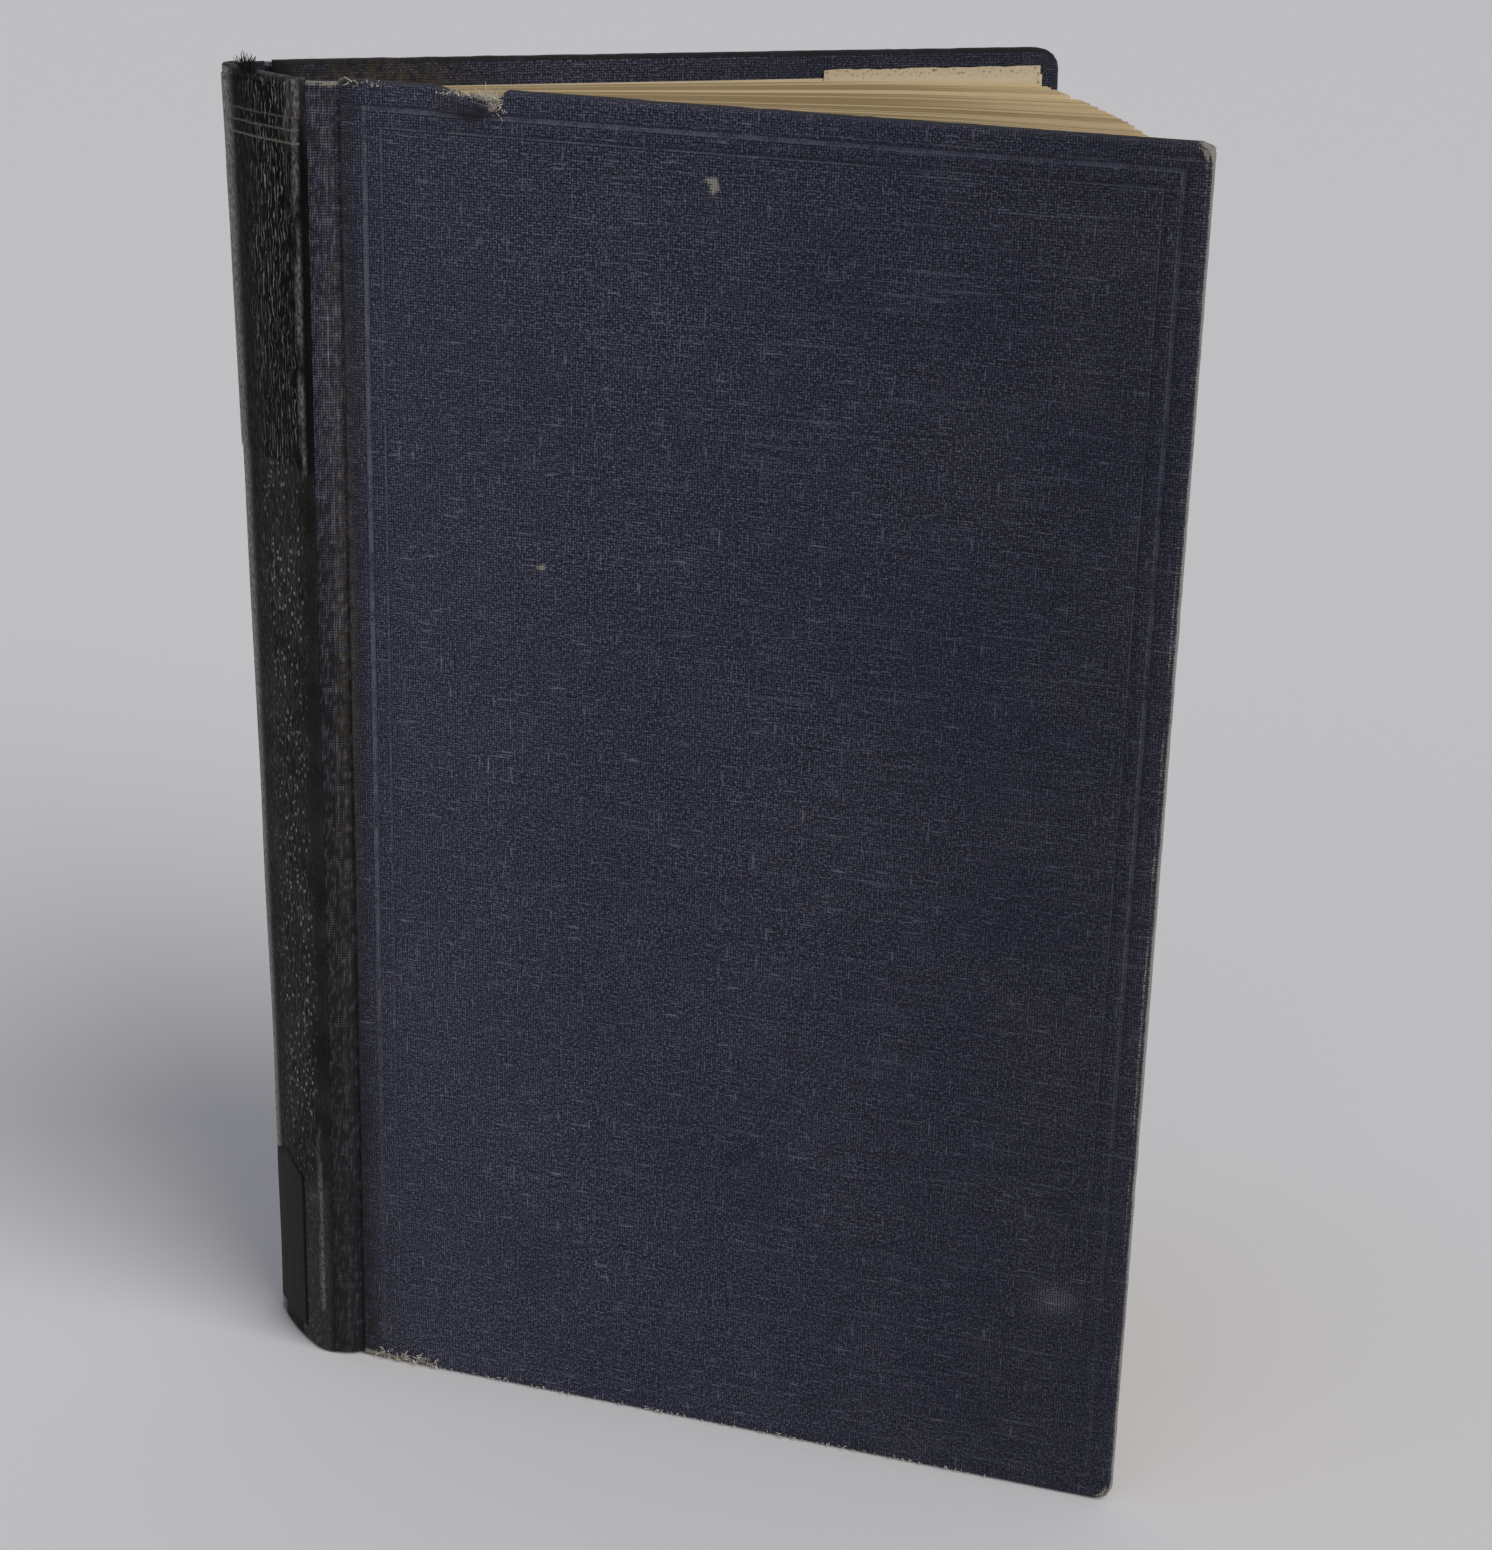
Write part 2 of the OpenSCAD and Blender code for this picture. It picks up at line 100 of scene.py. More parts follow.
class Noise:
    """Smooth seeded noise on a plane."""

    def __init__(self, seed: int) -> None:
        """Draws the table of values from its seed."""
        self.table = np.random.default_rng(seed).random((97, 89))

    def at(self, x: Array, y: Array) -> Array:
        """Reads the noise.

        Args:
            x: First coordinate, one unit a feature.
            y: Second coordinate.

        Returns:
            Values from 0 to 1.
        """
        x, y = np.broadcast_arrays(np.asarray(x, float), np.asarray(y, float))
        i, j = np.floor(x).astype(int), np.floor(y).astype(int)
        u, v = ramp(x - i, 0, 1), ramp(y - j, 0, 1)
        rows, columns = self.table.shape
        near, far = (self.table[i % rows, (j + k) % columns] * (1 - u)
                     + self.table[(i + 1) % rows, (j + k) % columns] * u for k in (0, 1))
        return near * (1 - v) + far * v

    def layered(self, x: Array, y: Array) -> Array:
        """Three layers of finer and finer noise, from 0 to 1."""
        layers = [0.5 ** k * self.at(x * 2 ** k + 7 * k, y * 2 ** k + 3 * k) for k in range(3)]
        return sum(layers) / 1.75


@dataclass(frozen=True)
class Plan:
    """Sizes of the book in millimetres; the block's frame has the front hinge as its origin."""

    height: float = 235.0
    middle: float = 117.0
    width: float = 141.5
    thickness: float = 3.0
    joint_gap: float = 1.2
    back_width: float = 24.3
    cocked: float = 6.7
    angle: float = math.radians(35.5)
    tail: float = 2.4
    head: float = 230.4
    leaf_width: float = 138.5
    leaf_front: float = 3.85
    leaf_rear: float = 20.45
    shoulder_reach: float = 7.0
    rear_reach: float = 3.9
    shoulder_y: float = 4.35
    lip: float = 0.2
    back_round: float = 0.8
    head_pull: float = 3.9
    back_gap: float = 3.2
    fan: float = 25.0
    straight: float = 6.0
    bend: float = 45.0
    hinge: Vector = field(default_factory=lambda: Vector(
        next(j["pos_m"] for j in frame["joints"] if j["name"] == "front_cover_hinge")))

    def place(self, x: Array, y: Array, z: Array) -> Array:
        """Moves points from the block's frame to the row frame.

        Args:
            x: Along the rear leaves, from the front hinge, in mm.
            y: From the front cover to the rear one, in mm.
            z: Height in mm.

        Returns:
            Points in metres, the last axis being x, y, z.
        """
        x, y, z = np.broadcast_arrays(x, y, z)
        c, s = math.cos(self.angle), math.sin(self.angle)
        points = np.stack([x * c - y * s, x * s + y * c, z], -1) * MM
        return points + np.array([self.hinge.x, self.hinge.y, 0.0])

    def front(self, x: Array, y: Array, z: Array) -> Array:
        """Moves points from the front cover's own frame: from its hinge, and from its outer face inwards."""
        c, s = math.cos(self.angle), math.sin(self.angle)
        return self.place(x * c + y * s, y * c - x * s, z)

    def rear(self, x: Array, y: Array, z: Array) -> Array:
        """Moves points from the rear cover's own frame: from its hinge, and from its outer face inwards."""
        return self.place(x - self.cocked, self.back_width - y, z)

    def back(self, u: Array, z: Array) -> tuple[Array, Array]:
        """Outer face of the back in plan.

        Args:
            u: 0 to 1 over the front ridge, to 2 over the round, to 3 over the rear ridge.
            z: Height in mm.

        Returns:
            x and y in the block's frame.
        """
        u, z = np.broadcast_arrays(np.asarray(u, float), np.asarray(z, float))
        lean = self.head_pull * np.clip(z / self.height, 0, 1) ** 1.5
        start, x0, x2 = -self.lip, -self.shoulder_reach, -self.cocked - self.lip
        x1 = -self.cocked - self.rear_reach - lean
        y0, y1, y2 = self.shoulder_y, self.leaf_rear, self.back_width
        near, t, far = np.clip(u, 0, 1), np.clip(u - 1, 0, 1), np.clip(3 - u, 0, 1)
        front_x = bezier(near, start, start + 0.4 * (x0 - start), start + 0.8 * (x0 - start), x0)
        front_y = bezier(near, 0, 0.07 * y0, 0.33 * y0, y0)
        rear_x = bezier(far, x2, x2 + 0.45 * (x1 - x2), x1 + 0.1, x1)
        rear_y = bezier(far, y2, y2 - 0.05 * (y2 - y1), y2 - 0.34 * (y2 - y1), y1)
        round_x = x0 + (x1 - x0) * t - self.back_round * 4 * t * (1 - t)
        x = np.where(u < 1, front_x, np.where(u > 2, rear_x, round_x))
        return x, np.where(u < 1, front_y, np.where(u > 2, rear_y, y0 + (y1 - y0) * t))

    def spine(self, u: Array, z: Array, depth: Array) -> Array:
        """Points sunk below the outer face of the back.

        Args:
            u: Place round the back, 0 to 3.
            z: Height in mm.
            depth: Depth in mm, inwards.

        Returns:
            Points in metres.
        """
        x, y = self.back(u, z)
        (ax, ay), (bx, by) = (self.back(np.clip(u + step, 0, 3), z) for step in (-0.03, 0.03))
        dx, dy = bx - ax, by - ay
        size = np.hypot(dx, dy)
        return self.place(x + depth * dy / size, y - depth * dx / size, z)

    def stations(self, low: float, high: float, step: float) -> tuple[Array, Array]:
        """Even places round the back.

        Args:
            low: First place, 0 to 3.
            high: Last place.
            step: Distance between them in mm.

        Returns:
            The places, and their distances along the curve in mm.
        """
        u = np.linspace(low, high, 1200)
        x, y = self.back(u, self.middle)
        run = np.concatenate([[0], np.cumsum(np.hypot(np.diff(x), np.diff(y)))])
        along = np.linspace(0, run[-1], int(run[-1] / step) + 2)
        return np.interp(along, run, u), along

    def fold(self, t: Array) -> tuple[Array, Array]:
        """Back fold of a leaf in plan.

        Args:
            t: 0 for the first leaf, 1 for the last.

        Returns:
            x and y in the block's frame.
        """
        y = self.leaf_front + (self.leaf_rear - self.leaf_front) * t
        s = (y - self.shoulder_y) / (self.leaf_rear - self.shoulder_y)
        x = -self.shoulder_reach + (self.shoulder_reach - self.cocked - self.rear_reach) * s
        return x - self.back_round * 3.2 * t * (1 - t) + self.back_gap, y

    def leaf(self, t: float, shift: float, heading: Array, along: Array) -> tuple[Array, Array]:
        """Walks along a leaf that runs straight, bends and runs straight again.

        Args:
            t: Its place in the block, 0 to 1.
            shift: Distance of its start from that place, in mm.
            heading: Final heading in degrees, negative towards the front cover.
            along: Distances from the start in mm.

        Returns:
            x and y of the points.
        """
        x, y = self.fold(t)
        h = np.radians(np.where(np.abs(heading) < 0.01, 0.01, heading))
        s = np.clip((along - self.straight) / self.bend, 0, 1)
        radius = self.bend / h
        last = np.clip(along - self.straight - self.bend, 0, None)
        x = x + np.minimum(along, self.straight) + radius * np.sin(h * s) + last * np.cos(h)
        return x, y + shift + radius * (1 - np.cos(h * s)) + last * np.sin(h)

    def droop(self, along: Array) -> Array:
        """How far a leaf sags in mm at a distance from its fold."""
        return 0.35 * ramp(along, 20, 125) + 1.2 * ramp(along, 95, 150) ** 1.3


PLAN = Plan()


class Body(Enum):
    """Bodies that a piece can ride on."""

    ROOT = "root"
    FRONT = "front_cover"
    REAR = "rear_cover"

    def place(self, x: Array, y: Array, z: Array) -> Array:
        """Moves points from the body's own frame to the row frame."""
        own = {Body.ROOT: PLAN.place, Body.FRONT: PLAN.front, Body.REAR: PLAN.rear}[self]
        return own(x, y, z)


@dataclass
class Sheet:
    """Vertices, faces, flat coordinates and painted values of one mesh."""

    points: list = field(default_factory=list)
    faces: list = field(default_factory=list)
    flat: list = field(default_factory=list)
    values: dict = field(default_factory=dict)
    count: int = 0

    def add(self, points: Array, flat: Array, closed: bool = False, flip: bool = False,
            **values: Array) -> None:
        """Adds a grid of points.

        Args:
            points: Rows by columns of points in metres.
            flat: Flat coordinates in mm, rows by columns or one row.
            closed: Joins the last column to the first one.
            flip: Reverses the columns, so that the faces look the other way.
            **values: Painted values by name, rows by columns or one number.
        """
        rows, columns = points.shape[:2]
        order = slice(None, None, -1 if flip else 1)
        index = np.arange(rows * columns).reshape(rows, columns) + self.count
        if closed:
            index = np.concatenate([index, index[:, :1]], 1)
        corners = index[:-1, :-1], index[:-1, 1:], index[1:, 1:], index[1:, :-1]
        self.faces.append(np.stack(corners, -1).reshape(-1, 4))
        self.points.append(points[:, order].reshape(-1, 3))
        self.flat.append(np.broadcast_to(flat, (rows, columns, 2))[:, order].reshape(-1, 2))
        for name in dict.fromkeys([*self.values, *values]):
            known = self.values.setdefault(name, [np.zeros(self.count)] if self.count else [])
            value = np.asarray(values.get(name, 0.0), float)
            known.append(np.broadcast_to(value, (rows, columns))[:, order].reshape(-1))
        self.count += rows * columns

    def leaf(self, front: Array, rear: Array, flat: Array, shade: Array, edge: Array,
             ends: tuple, fore: tuple) -> None:
        """Adds a thin closed leaf: two faces, its lower and upper ends and its fore-edge.

        Args:
            front: Points of the front face.
            rear: Points of the rear face.
            flat: Flat coordinates of both faces.
            shade: How dark the faces are.
            edge: Distance from the nearest edge in mm.
            ends: Shade and edge at the lower and upper ends.
            fore: Shade and edge at the fore-edge.
        """
        self.add(front, flat, flip=True, shade=shade, edge=edge)
        self.add(rear, flat, shade=shade, edge=edge)
        for row, pair in ((0, (front, rear)), (-1, (rear, front))):
            self.add(np.stack([face[row] for face in pair]), flat[row], shade=ends[0], edge=ends[1])
        heights = joined(PLAN.leaf_width, flat[:, -1, 1])
        self.add(np.stack([rear[:, -1], front[:, -1]]), heights, shade=fore[0], edge=fore[1])

    def build(self, name: str, material: Material, body: Body | None, slot: str, node: str = "",
              smooth: bool = True) -> Thing:
        """Makes the object.

        Args:
            name: Name of the object.
            material: Its material.
            body: The body it rides on, or None for a piece that is left unattached.
            slot: Material slot in the record; not used.
            node: The CAD node that it replaces, if any.
            smooth: Shades it smooth.

        Returns:
            The object.
        """
        mesh = bpy.data.meshes.new(name)
        faces = np.concatenate(self.faces)
        mesh.from_pydata(np.concatenate(self.points).tolist(), [], faces.tolist())
        flat = np.concatenate(self.flat) * MM
        corners = np.empty(len(mesh.loops), int)
        mesh.loops.foreach_get("vertex_index", corners)
        mesh.uv_layers.new(name="flat").data.foreach_set("uv", flat[corners].reshape(-1))
        for key, parts in self.values.items():
            attribute = mesh.attributes.new(key, "FLOAT", "POINT")
            attribute.data.foreach_set("value", np.concatenate(parts))
        mesh.polygons.foreach_set("use_smooth", [smooth] * len(mesh.polygons))
        mesh.materials.append(material)
        mesh.update()
        made = bpy.data.objects.new(name, mesh)
        bpy.context.scene.collection.objects.link(made)
        if body:
            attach(made, body.value)
        if node:
            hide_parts(node)
        log.info("%s: %d faces on %s", name, len(faces), body.value if body else "two bodies")
        return made


@dataclass(frozen=True)
class Signal:
    """An output in a node tree; sums, products and the like on it add math nodes."""

    graph: "Graph"
    socket: bpy.types.NodeSocket

    def __add__(self, other: object) -> "Signal":
        """Sum of the two."""
        return self.graph.math("ADD", self, other)

    def __sub__(self, other: object) -> "Signal":
        """Difference of the two."""
        return self.graph.math("SUBTRACT", self, other)

    def __rsub__(self, other: float) -> "Signal":
        """What is left of a number."""
        return self.graph.math("SUBTRACT", other, self)

    def __mul__(self, other: object) -> "Signal":
        """Product of the two."""
        return self.graph.math("MULTIPLY", self, other)

    def __abs__(self) -> "Signal":
        """Absolute value."""
        return self.graph.math("ABSOLUTE", self)

    def least(self, other: object) -> "Signal":
        """Smaller one of the two."""
        return self.graph.math("MINIMUM", self, other)

    def most(self, other: object) -> "Signal":
        """Larger one of the two."""
        return self.graph.math("MAXIMUM", self, other)

    def span(self, low: float, high: float, a: float = 0.0, b: float = 1.0) -> "Signal":
        """Smoothly maps low and high to a and b."""
        inputs = {0: self, 1: low, 2: high, 3: a, 4: b}
        return self.graph.node("MapRange", inputs, interpolation_type="SMOOTHSTEP")


class Graph:
    """Node tree of one material, built with short calls."""

    def __init__(self, name: str) -> None:
        """Starts an empty material.

        Args:
            name: Name of the material.
        """
        self.material = bpy.data.materials.new(name)
        self.material.use_nodes = True
        self.tree = self.material.node_tree
        self.tree.nodes.clear()

    def node(self, kind: str, inputs: dict | None = None, output: int = 0, **settings: object) -> Signal:
        """Adds a node.

        Args:
            kind: Node type without its ShaderNode prefix.
            inputs: Signals, numbers, colours or vectors by input name or index.
            output: Index of the output that is used.
            **settings: Properties of the node.

        Returns:
            The output.
        """
        made = self.tree.nodes.new("ShaderNode" + kind)
        for key, value in settings.items():
            setattr(made, key, value)
        for key, value in (inputs or {}).items():
            socket = made.inputs[key]
            if isinstance(value, Signal):
                self.tree.links.new(value.socket, socket)
            elif isinstance(value, tuple) and socket.type == "RGBA":
                socket.default_value = (*value, 1.0)
            elif value is not None:
                socket.default_value = value
        return Signal(self, made.outputs[output] if made.outputs else None)

    def math(self, operation: str, *values: object) -> Signal:
        """Adds a math node."""
        return self.node("Math", dict(enumerate(values)), operation=operation)

    def mix(self, share: object, a: object, b: object) -> Signal:
        """Mixes two colours by the share of the second."""
        return self.node("Mix", {0: share, 6: a, 7: b}, 2, data_type="RGBA")

    def layers(self, colour: object, *tints: tuple) -> Signal:
        """Lays tints over a colour.

        Args:
            colour: The lowest colour.
            *tints: Share and colour of each tint.

        Returns:
            The colour on top.
        """
        for share, tint in tints:
            colour = self.mix(share, colour, tint)
        return colour

    def flat(self) -> Signal:
        """Flat coordinates of the piece in millimetres."""
        return self.scaled(self.node("UVMap", uv_map="flat"), 1 / MM)

    def scaled(self, vector: Signal, factor: float) -> Signal:
        """Scales a vector by one number."""
        return self.node("VectorMath", {0: vector, "Scale": factor}, operation="SCALE")

    def stretched(self, vector: Signal, x: float, y: float) -> Signal:
        """Scales a vector's first two axes, each by its own number."""
        return self.node("VectorMath", {0: vector, 1: (x, y, 1.0)}, operation="MULTIPLY")

    def axis(self, vector: Signal, index: int) -> Signal:
        """One coordinate of a vector."""
        return self.node("SeparateXYZ", {0: vector}, index)

    def noise(self, vector: Signal, scale: float, detail: float = 3.0, rough: float = 0.55) -> Signal:
        """Noise with so many features a unit, finer layers and their strength."""
        return self.node("TexNoise", {"Vector": vector, "Scale": scale, "Detail": detail, "Roughness": rough})

    def streaks(self, flat: Signal, x: float, y: float, detail: float, rough: float = 0.55) -> Signal:
        """Noise that is drawn out along one axis."""
        return self.noise(self.stretched(flat, x, y), 1.0, detail, rough)

    def value(self, name: str) -> Signal:
        """Painted value of the mesh."""
        return self.node("Attribute", None, 2, attribute_name=name)

    def bump(self, height: Signal, distance: float, normal: Signal | None = None) -> Signal:
        """Adds relief, so many millimetres high, to a normal."""
        inputs = {"Height": height, "Distance": distance * MM, "Strength": 1.0, "Normal": normal}
        return self.node("Bump", inputs)

    def finish(self, colour: object, rough: object, normal: Signal | None = None, specular: float = 0.5,
               sheen: float = 0.0, sheen_colour: Colour = (1.0, 1.0, 1.0)) -> Material:
        """Ends the tree in a surface.

        Args:
            colour: Base colour.
            rough: Roughness.
            normal: Normal.
            specular: Strength of the reflection.
            sheen: Strength of the fibre sheen.
            sheen_colour: Tint of the sheen.

        Returns:
            The material.
        """
        surface = self.node("BsdfPrincipled", {
            "Base Color": colour, "Roughness": rough, "Specular IOR Level": specular, "Normal": normal,
            "Sheen Weight": sheen, "Sheen Tint": sheen_colour, "Sheen Roughness": 0.4})
        self.node("OutputMaterial", {0: surface})
        return self.material


@dataclass(frozen=True)
class ClothFinish:
    """Plain-woven navy book cloth with slubs, rubbed edges, stains, grime and bare threads; painted shade
    darkens it towards the fore-edge and in the walls of the blind rules, and painted sheen lightens the rule
    floors.
    """

    name: str = "book_cloth"
    thread: Colour = srgb(57, 58, 82)
    gap: Colour = srgb(11, 11, 19)
    bright: Colour = srgb(128, 129, 146)
    cloudy: Colour = srgb(38, 38, 64)
    pressed_sheen: Colour = srgb(96, 98, 112)
    dirt_and_shade: Colour = srgb(14, 14, 16)
    brown: Colour = srgb(94, 80, 57)
    grey: Colour = srgb(118, 112, 104)
    worn: Colour = srgb(150, 145, 134)
    rubbed: Colour = srgb(125, 126, 134)
    pitch: float = 0.45
    # Distance from the edges, half width and strength of the painted sheen of each blind rule.
    rules: tuple = ((4.28, 0.42, 0.72), (7.2, 0.16, 0.62))

    def build(self) -> Material:
        """Makes the material.

        Returns:
            The material.
        """
        g = Graph(self.name)
        flat, far = g.flat(), g.value("far")
        drift = g.node("TexNoise", {"Vector": flat, "Scale": 0.35, "Detail": 2.0}, 1)
        drift = g.node("VectorMath", {0: drift, 1: (0.5, 0.5, 0.5)}, operation="SUBTRACT")
        moved = g.node("VectorMath", {0: flat, 1: g.scaled(drift, 0.5)}, operation="ADD")
        warp, weft = (g.math("COSINE", g.axis(moved, i) * (math.pi / self.pitch)) for i in (0, 1))
        over = g.math("MULTIPLY_ADD", warp * weft, 0.5, 0.5)
        weave = g.math("MULTIPLY_ADD", abs(warp), over, abs(weft) * (1.0 - over))
        slub_x, slub_z = g.streaks(flat, 0.22, 1.9, 2.0), g.streaks(flat, 1.9, 0.22, 2.0)
        slub = slub_x.span(0.6, 0.76).most(slub_z.span(0.61, 0.77))
        sunk = slub_x.span(0.42, 0.28).most(slub_z.span(0.4, 0.26))
        uneven = g.noise(flat, 2.3, 2.0, 0.8)
        height = weave + slub * 0.35
        light = slub.most(uneven.span(0.52, 0.62)) * height.span(0.2, 0.9, 0.3, 1.0)
        long = g.streaks(flat, 0.045, 1.5, 2.0)
        cloud = g.noise(flat, 0.03, 4.0)
        colour = g.layers(
            self.gap,
            (height.span(0.3, 1.0), self.thread),
            (sunk.most(uneven.span(0.48, 0.39)) * 0.97, self.gap),
            (light * 0.64, self.bright),
            (long.span(0.58, 0.76) * far.span(0.2, 0.8, 0.08, 0.34), self.bright),
            (long.span(0.42, 0.25) * far.span(0.2, 0.8, 0.15, 0.5), self.gap),
            (cloud.span(0.3, 0.75, 0.0, 0.25), self.cloudy),
            # Painted shade: the cloth is darkened towards the fore-edge, so the part near the joint reads
            # lighter.
            (far.span(0.25, 1.0, 0.0, 0.43), self.gap))
        torn = g.value("wear") + g.noise(flat, 1.6, 5.0, 0.75) * 0.9 + height * 0.16
        colour = g.layers(
            self.ruled(g, flat, colour),
            # Real grime and stains, a dark strip along the joint, and painted shadow in the dented head edge
            # and on the inner head rim.
            (g.value("grime") * g.noise(flat, 0.45, 4.0).span(0.25, 0.65, 0.4, 1.0), self.dirt_and_shade),
            (g.value("stain") * g.noise(flat, 0.6, 5.0, 0.7).span(0.36, 0.66), self.brown),
            (torn.span(1.02, 1.22), g.mix(g.noise(flat, 0.9, 3.0), self.grey, self.worn)),
            # Rubbed thread tops, and painted light near the joint of the front cover.
            (g.value("rub") * height.span(0.3, 1.1), self.rubbed))
        normal = g.bump(height, 0.12, g.bump(g.noise(flat, 0.5, 3.0), 0.08))
        return g.finish(colour, cloud.span(0.3, 0.7, 0.66, 0.8), normal, 0.22, 0.03, (0.75, 0.8, 1.0))

    def ruled(self, g: Graph, flat: Signal, colour: Signal) -> Signal:
        """Lightens the blind rules with painted sheen on the pressed cloth and darkens their walls with
        painted shade.

        Args:
            g: The graph.
            flat: Flat coordinates.
            colour: Colour of the cloth.

        Returns:
            The colour with the rules.
        """
        x, z = g.axis(flat, 0), g.axis(flat, 1)
        across = (x - PLAN.joint_gap).least(PLAN.joint_gap + PLAN.width - x)
        edge = across.least(z.least(PLAN.height - z))
        uneven = (g.value("ruled") * g.noise(flat, 0.16, 5.0, 0.7).span(0.35, 0.6, 0.25, 1.0)
                  * g.value("far").span(0.1, 0.9, 1.0, 0.55) * z.span(25.0, 125.0, 0.32, 1.0))
        for place, half, strength in self.rules:
            off = abs(edge - place)
            floor = off.span(half - 0.08, half + 0.08, strength, 0.0) * uneven
            walls = abs(off - (half + 0.16)).span(0.04, 0.18, 0.75, 0.0) * uneven
            # Painted sheen on the rule floors, partly the pressed cloth, and painted shade on the rule walls.
            colour = g.layers(colour, (floor * uneven.span(0.0, 1.0, 0.6, 1.0), self.pressed_sheen),
                              (walls, self.gap))
        return colour


@dataclass(frozen=True)
class CoveringFinish:
    """Near-black grained covering, pebbled or smooth with upright wrinkles."""

    name: str
    base: Colour
    light: Colour
    grain: float = 1.0
    wrinkles: float = 0.4
    rough: float = 0.42
    relief: float = 0.16
    # Height and strength of each gilt rule.
    rules: tuple = ()
    glint: Colour = srgb(158, 154, 150)
    brown: Colour = srgb(74, 56, 42)
    worn: Colour = srgb(112, 96, 78)
    rubbed: Colour = srgb(176, 172, 166)
    dark: Colour = srgb(5, 5, 5)
    faded: Colour = srgb(122, 115, 104)

    def build(self) -> Material:
        """Makes the material.

        Returns:
            The material.
        """
        g = Graph(self.name)
        flat = g.flat()
        cells = {"Vector": g.stretched(flat, 1.0, 0.8), "Scale": 1.15}
        pebble = g.node("TexVoronoi", cells, feature="DISTANCE_TO_EDGE").span(0.02, 0.3)
        fine = g.noise(flat, 3.2, 3.0, 0.6)
        turn = g.axis(flat, 0) * 1.35 + g.streaks(flat, 0.55, 0.22, 2.5) * 3.4
        ridge = g.math("COSINE", turn * (2 * math.pi)).span(0.35, 1.0)
        crease = ridge * g.streaks(flat, 1.3, 0.3, 2.5).span(0.42, 0.58) * self.wrinkles
        height = g.math("MULTIPLY_ADD", pebble, self.grain, g.math("MULTIPLY_ADD", fine, 0.35, crease))
        cells = {"Vector": g.stretched(flat, 1.0, 0.62), "Scale": 1.35}
        chosen = g.node("SeparateColor", {0: g.node("TexVoronoi", cells, 1)})
        speck = g.node("TexVoronoi", cells).span(0.16, 0.42, 1.0, 0.0) * chosen.span(0.45, 0.75) * self.grain
        glint = speck.most(crease * 0.8) * g.value("glint")
        bare = (g.value("wear") + g.noise(flat, 0.8, 5.0, 0.75) * 0.9).span(0.98, 1.25)
        colour = g.layers(
            self.base,
            (g.noise(flat, 0.09, 4.0).span(0.3, 0.7), self.light),
            (glint * fine.span(0.3, 0.5, 0.35, 1.0), self.glint),
            (bare, g.mix(g.noise(flat, 1.2, 3.0), self.brown, self.worn)),
            # Rubbed wear, a painted reflection along the far side of the back and a painted highlight on the
            # crease lip.
            (g.value("rub") * g.streaks(flat, 2.6, 0.9, 3.0, 0.7).span(0.36, 0.62, 0.2, 1.0), self.rubbed),
            (g.value("dark"), self.dark))
        kept, height_up = g.streaks(flat, 0.8, 2.0, 4.0, 0.7).span(0.38, 0.6, 0.15, 0.75), g.axis(flat, 1)
        for level, strength in self.rules:
            line = abs(height_up - level).span(0.1, 0.26, strength, 0.0) * kept
            colour = g.mix(line, colour, self.faded)
        normal = g.bump(height, self.relief, g.bump(g.noise(flat, 0.25, 2.0), 0.2))
        rough = g.noise(flat, 0.7, 3.0).span(0.3, 0.7, self.rough, self.rough + 0.2)
        return g.finish(colour, rough.most(bare * 0.85), normal, 0.05)


@dataclass(frozen=True)
class TapeFinish:
    """Matt charcoal label tape with a rubbed rim and a painted shadow line along its edges."""

    name: str = "label_tape"
    base: Colour = srgb(31, 30, 29)
    light: Colour = srgb(48, 46, 44)
    worn: Colour = srgb(92, 84, 74)
    dark: Colour = srgb(4, 4, 4)

    def build(self) -> Material:
        """Makes the material.

        Returns:
            The material.
        """
        g = Graph(self.name)
        flat = g.flat()
        rim = g.value("wear") + g.noise(flat, 1.3, 4.0, 0.7) * 0.8
        # The dark value draws a painted shadow line along the label's sides and top.
        colour = g.layers(self.base, (g.noise(flat, 0.4, 4.0), self.light),
                          (rim.span(0.95, 1.25), self.worn), (g.value("dark"), self.dark))
        return g.finish(colour, 0.72, g.bump(g.noise(flat, 2.4, 3.0), 0.06), 0.15)


@dataclass(frozen=True)
class PaperFinish:
    """Aged paper, browner towards its edges, with foxing where spots is above 0; the shade value darkens it,
    and on the leaves it carries painted shade and painted highlights besides the paper's tone.
    """

    name: str
    pale: Colour = srgb(231, 211, 170)
    dark: Colour = srgb(146, 127, 95)
    edge: Colour = srgb(168, 144, 106)
    foxed: Colour = srgb(88, 62, 38)
    edge_width: float = 7.0
    spots: float = 0.0

    def build(self) -> Material:
        """Makes the material.

        Returns:
            The material.
        """
        g = Graph(self.name)
        flat = g.flat()
        shade = g.math("MULTIPLY_ADD", g.noise(flat, 0.6, 4.0), 0.25, g.value("shade"))
        near = g.value("edge") + g.noise(flat, 0.25, 4.0) * 2.5
        colour = g.layers(self.pale, (shade.span(0.05, 1.05), self.dark),
                          (near.span(1.0, self.edge_width, 0.45, 0.0), self.edge))
        if self.spots:
            rim = g.value("edge").span(0.2, 2.8, self.spots, 0.0)
            colour = g.mix(g.noise(flat, 1.5, 4.0, 0.8).span(0.53, 0.63) * rim, colour, self.foxed)
        return g.finish(colour, 0.88, g.bump(g.noise(flat, 1.6, 3.0), 0.03), 0.2)


@dataclass(frozen=True)
class PlainFinish:
    """Soft material for pieces that hardly show."""

    name: str
    base: Colour
    other: Colour
    scale: float = 0.8
    relief: float = 0.05
    rough: float = 0.85

    def build(self) -> Material:
        """Makes the material.

        Returns:
            The material.
        """
        g = Graph(self.name)
        where = g.scaled(g.node("TexCoord", None, 3), 1 / MM)
        grain = g.noise(where, self.scale, 4.0)
        colour = g.mix(grain.span(0.25, 0.75), self.base, self.other)
        return g.finish(colour, self.rough, g.bump(grain, self.relief), 0.25)


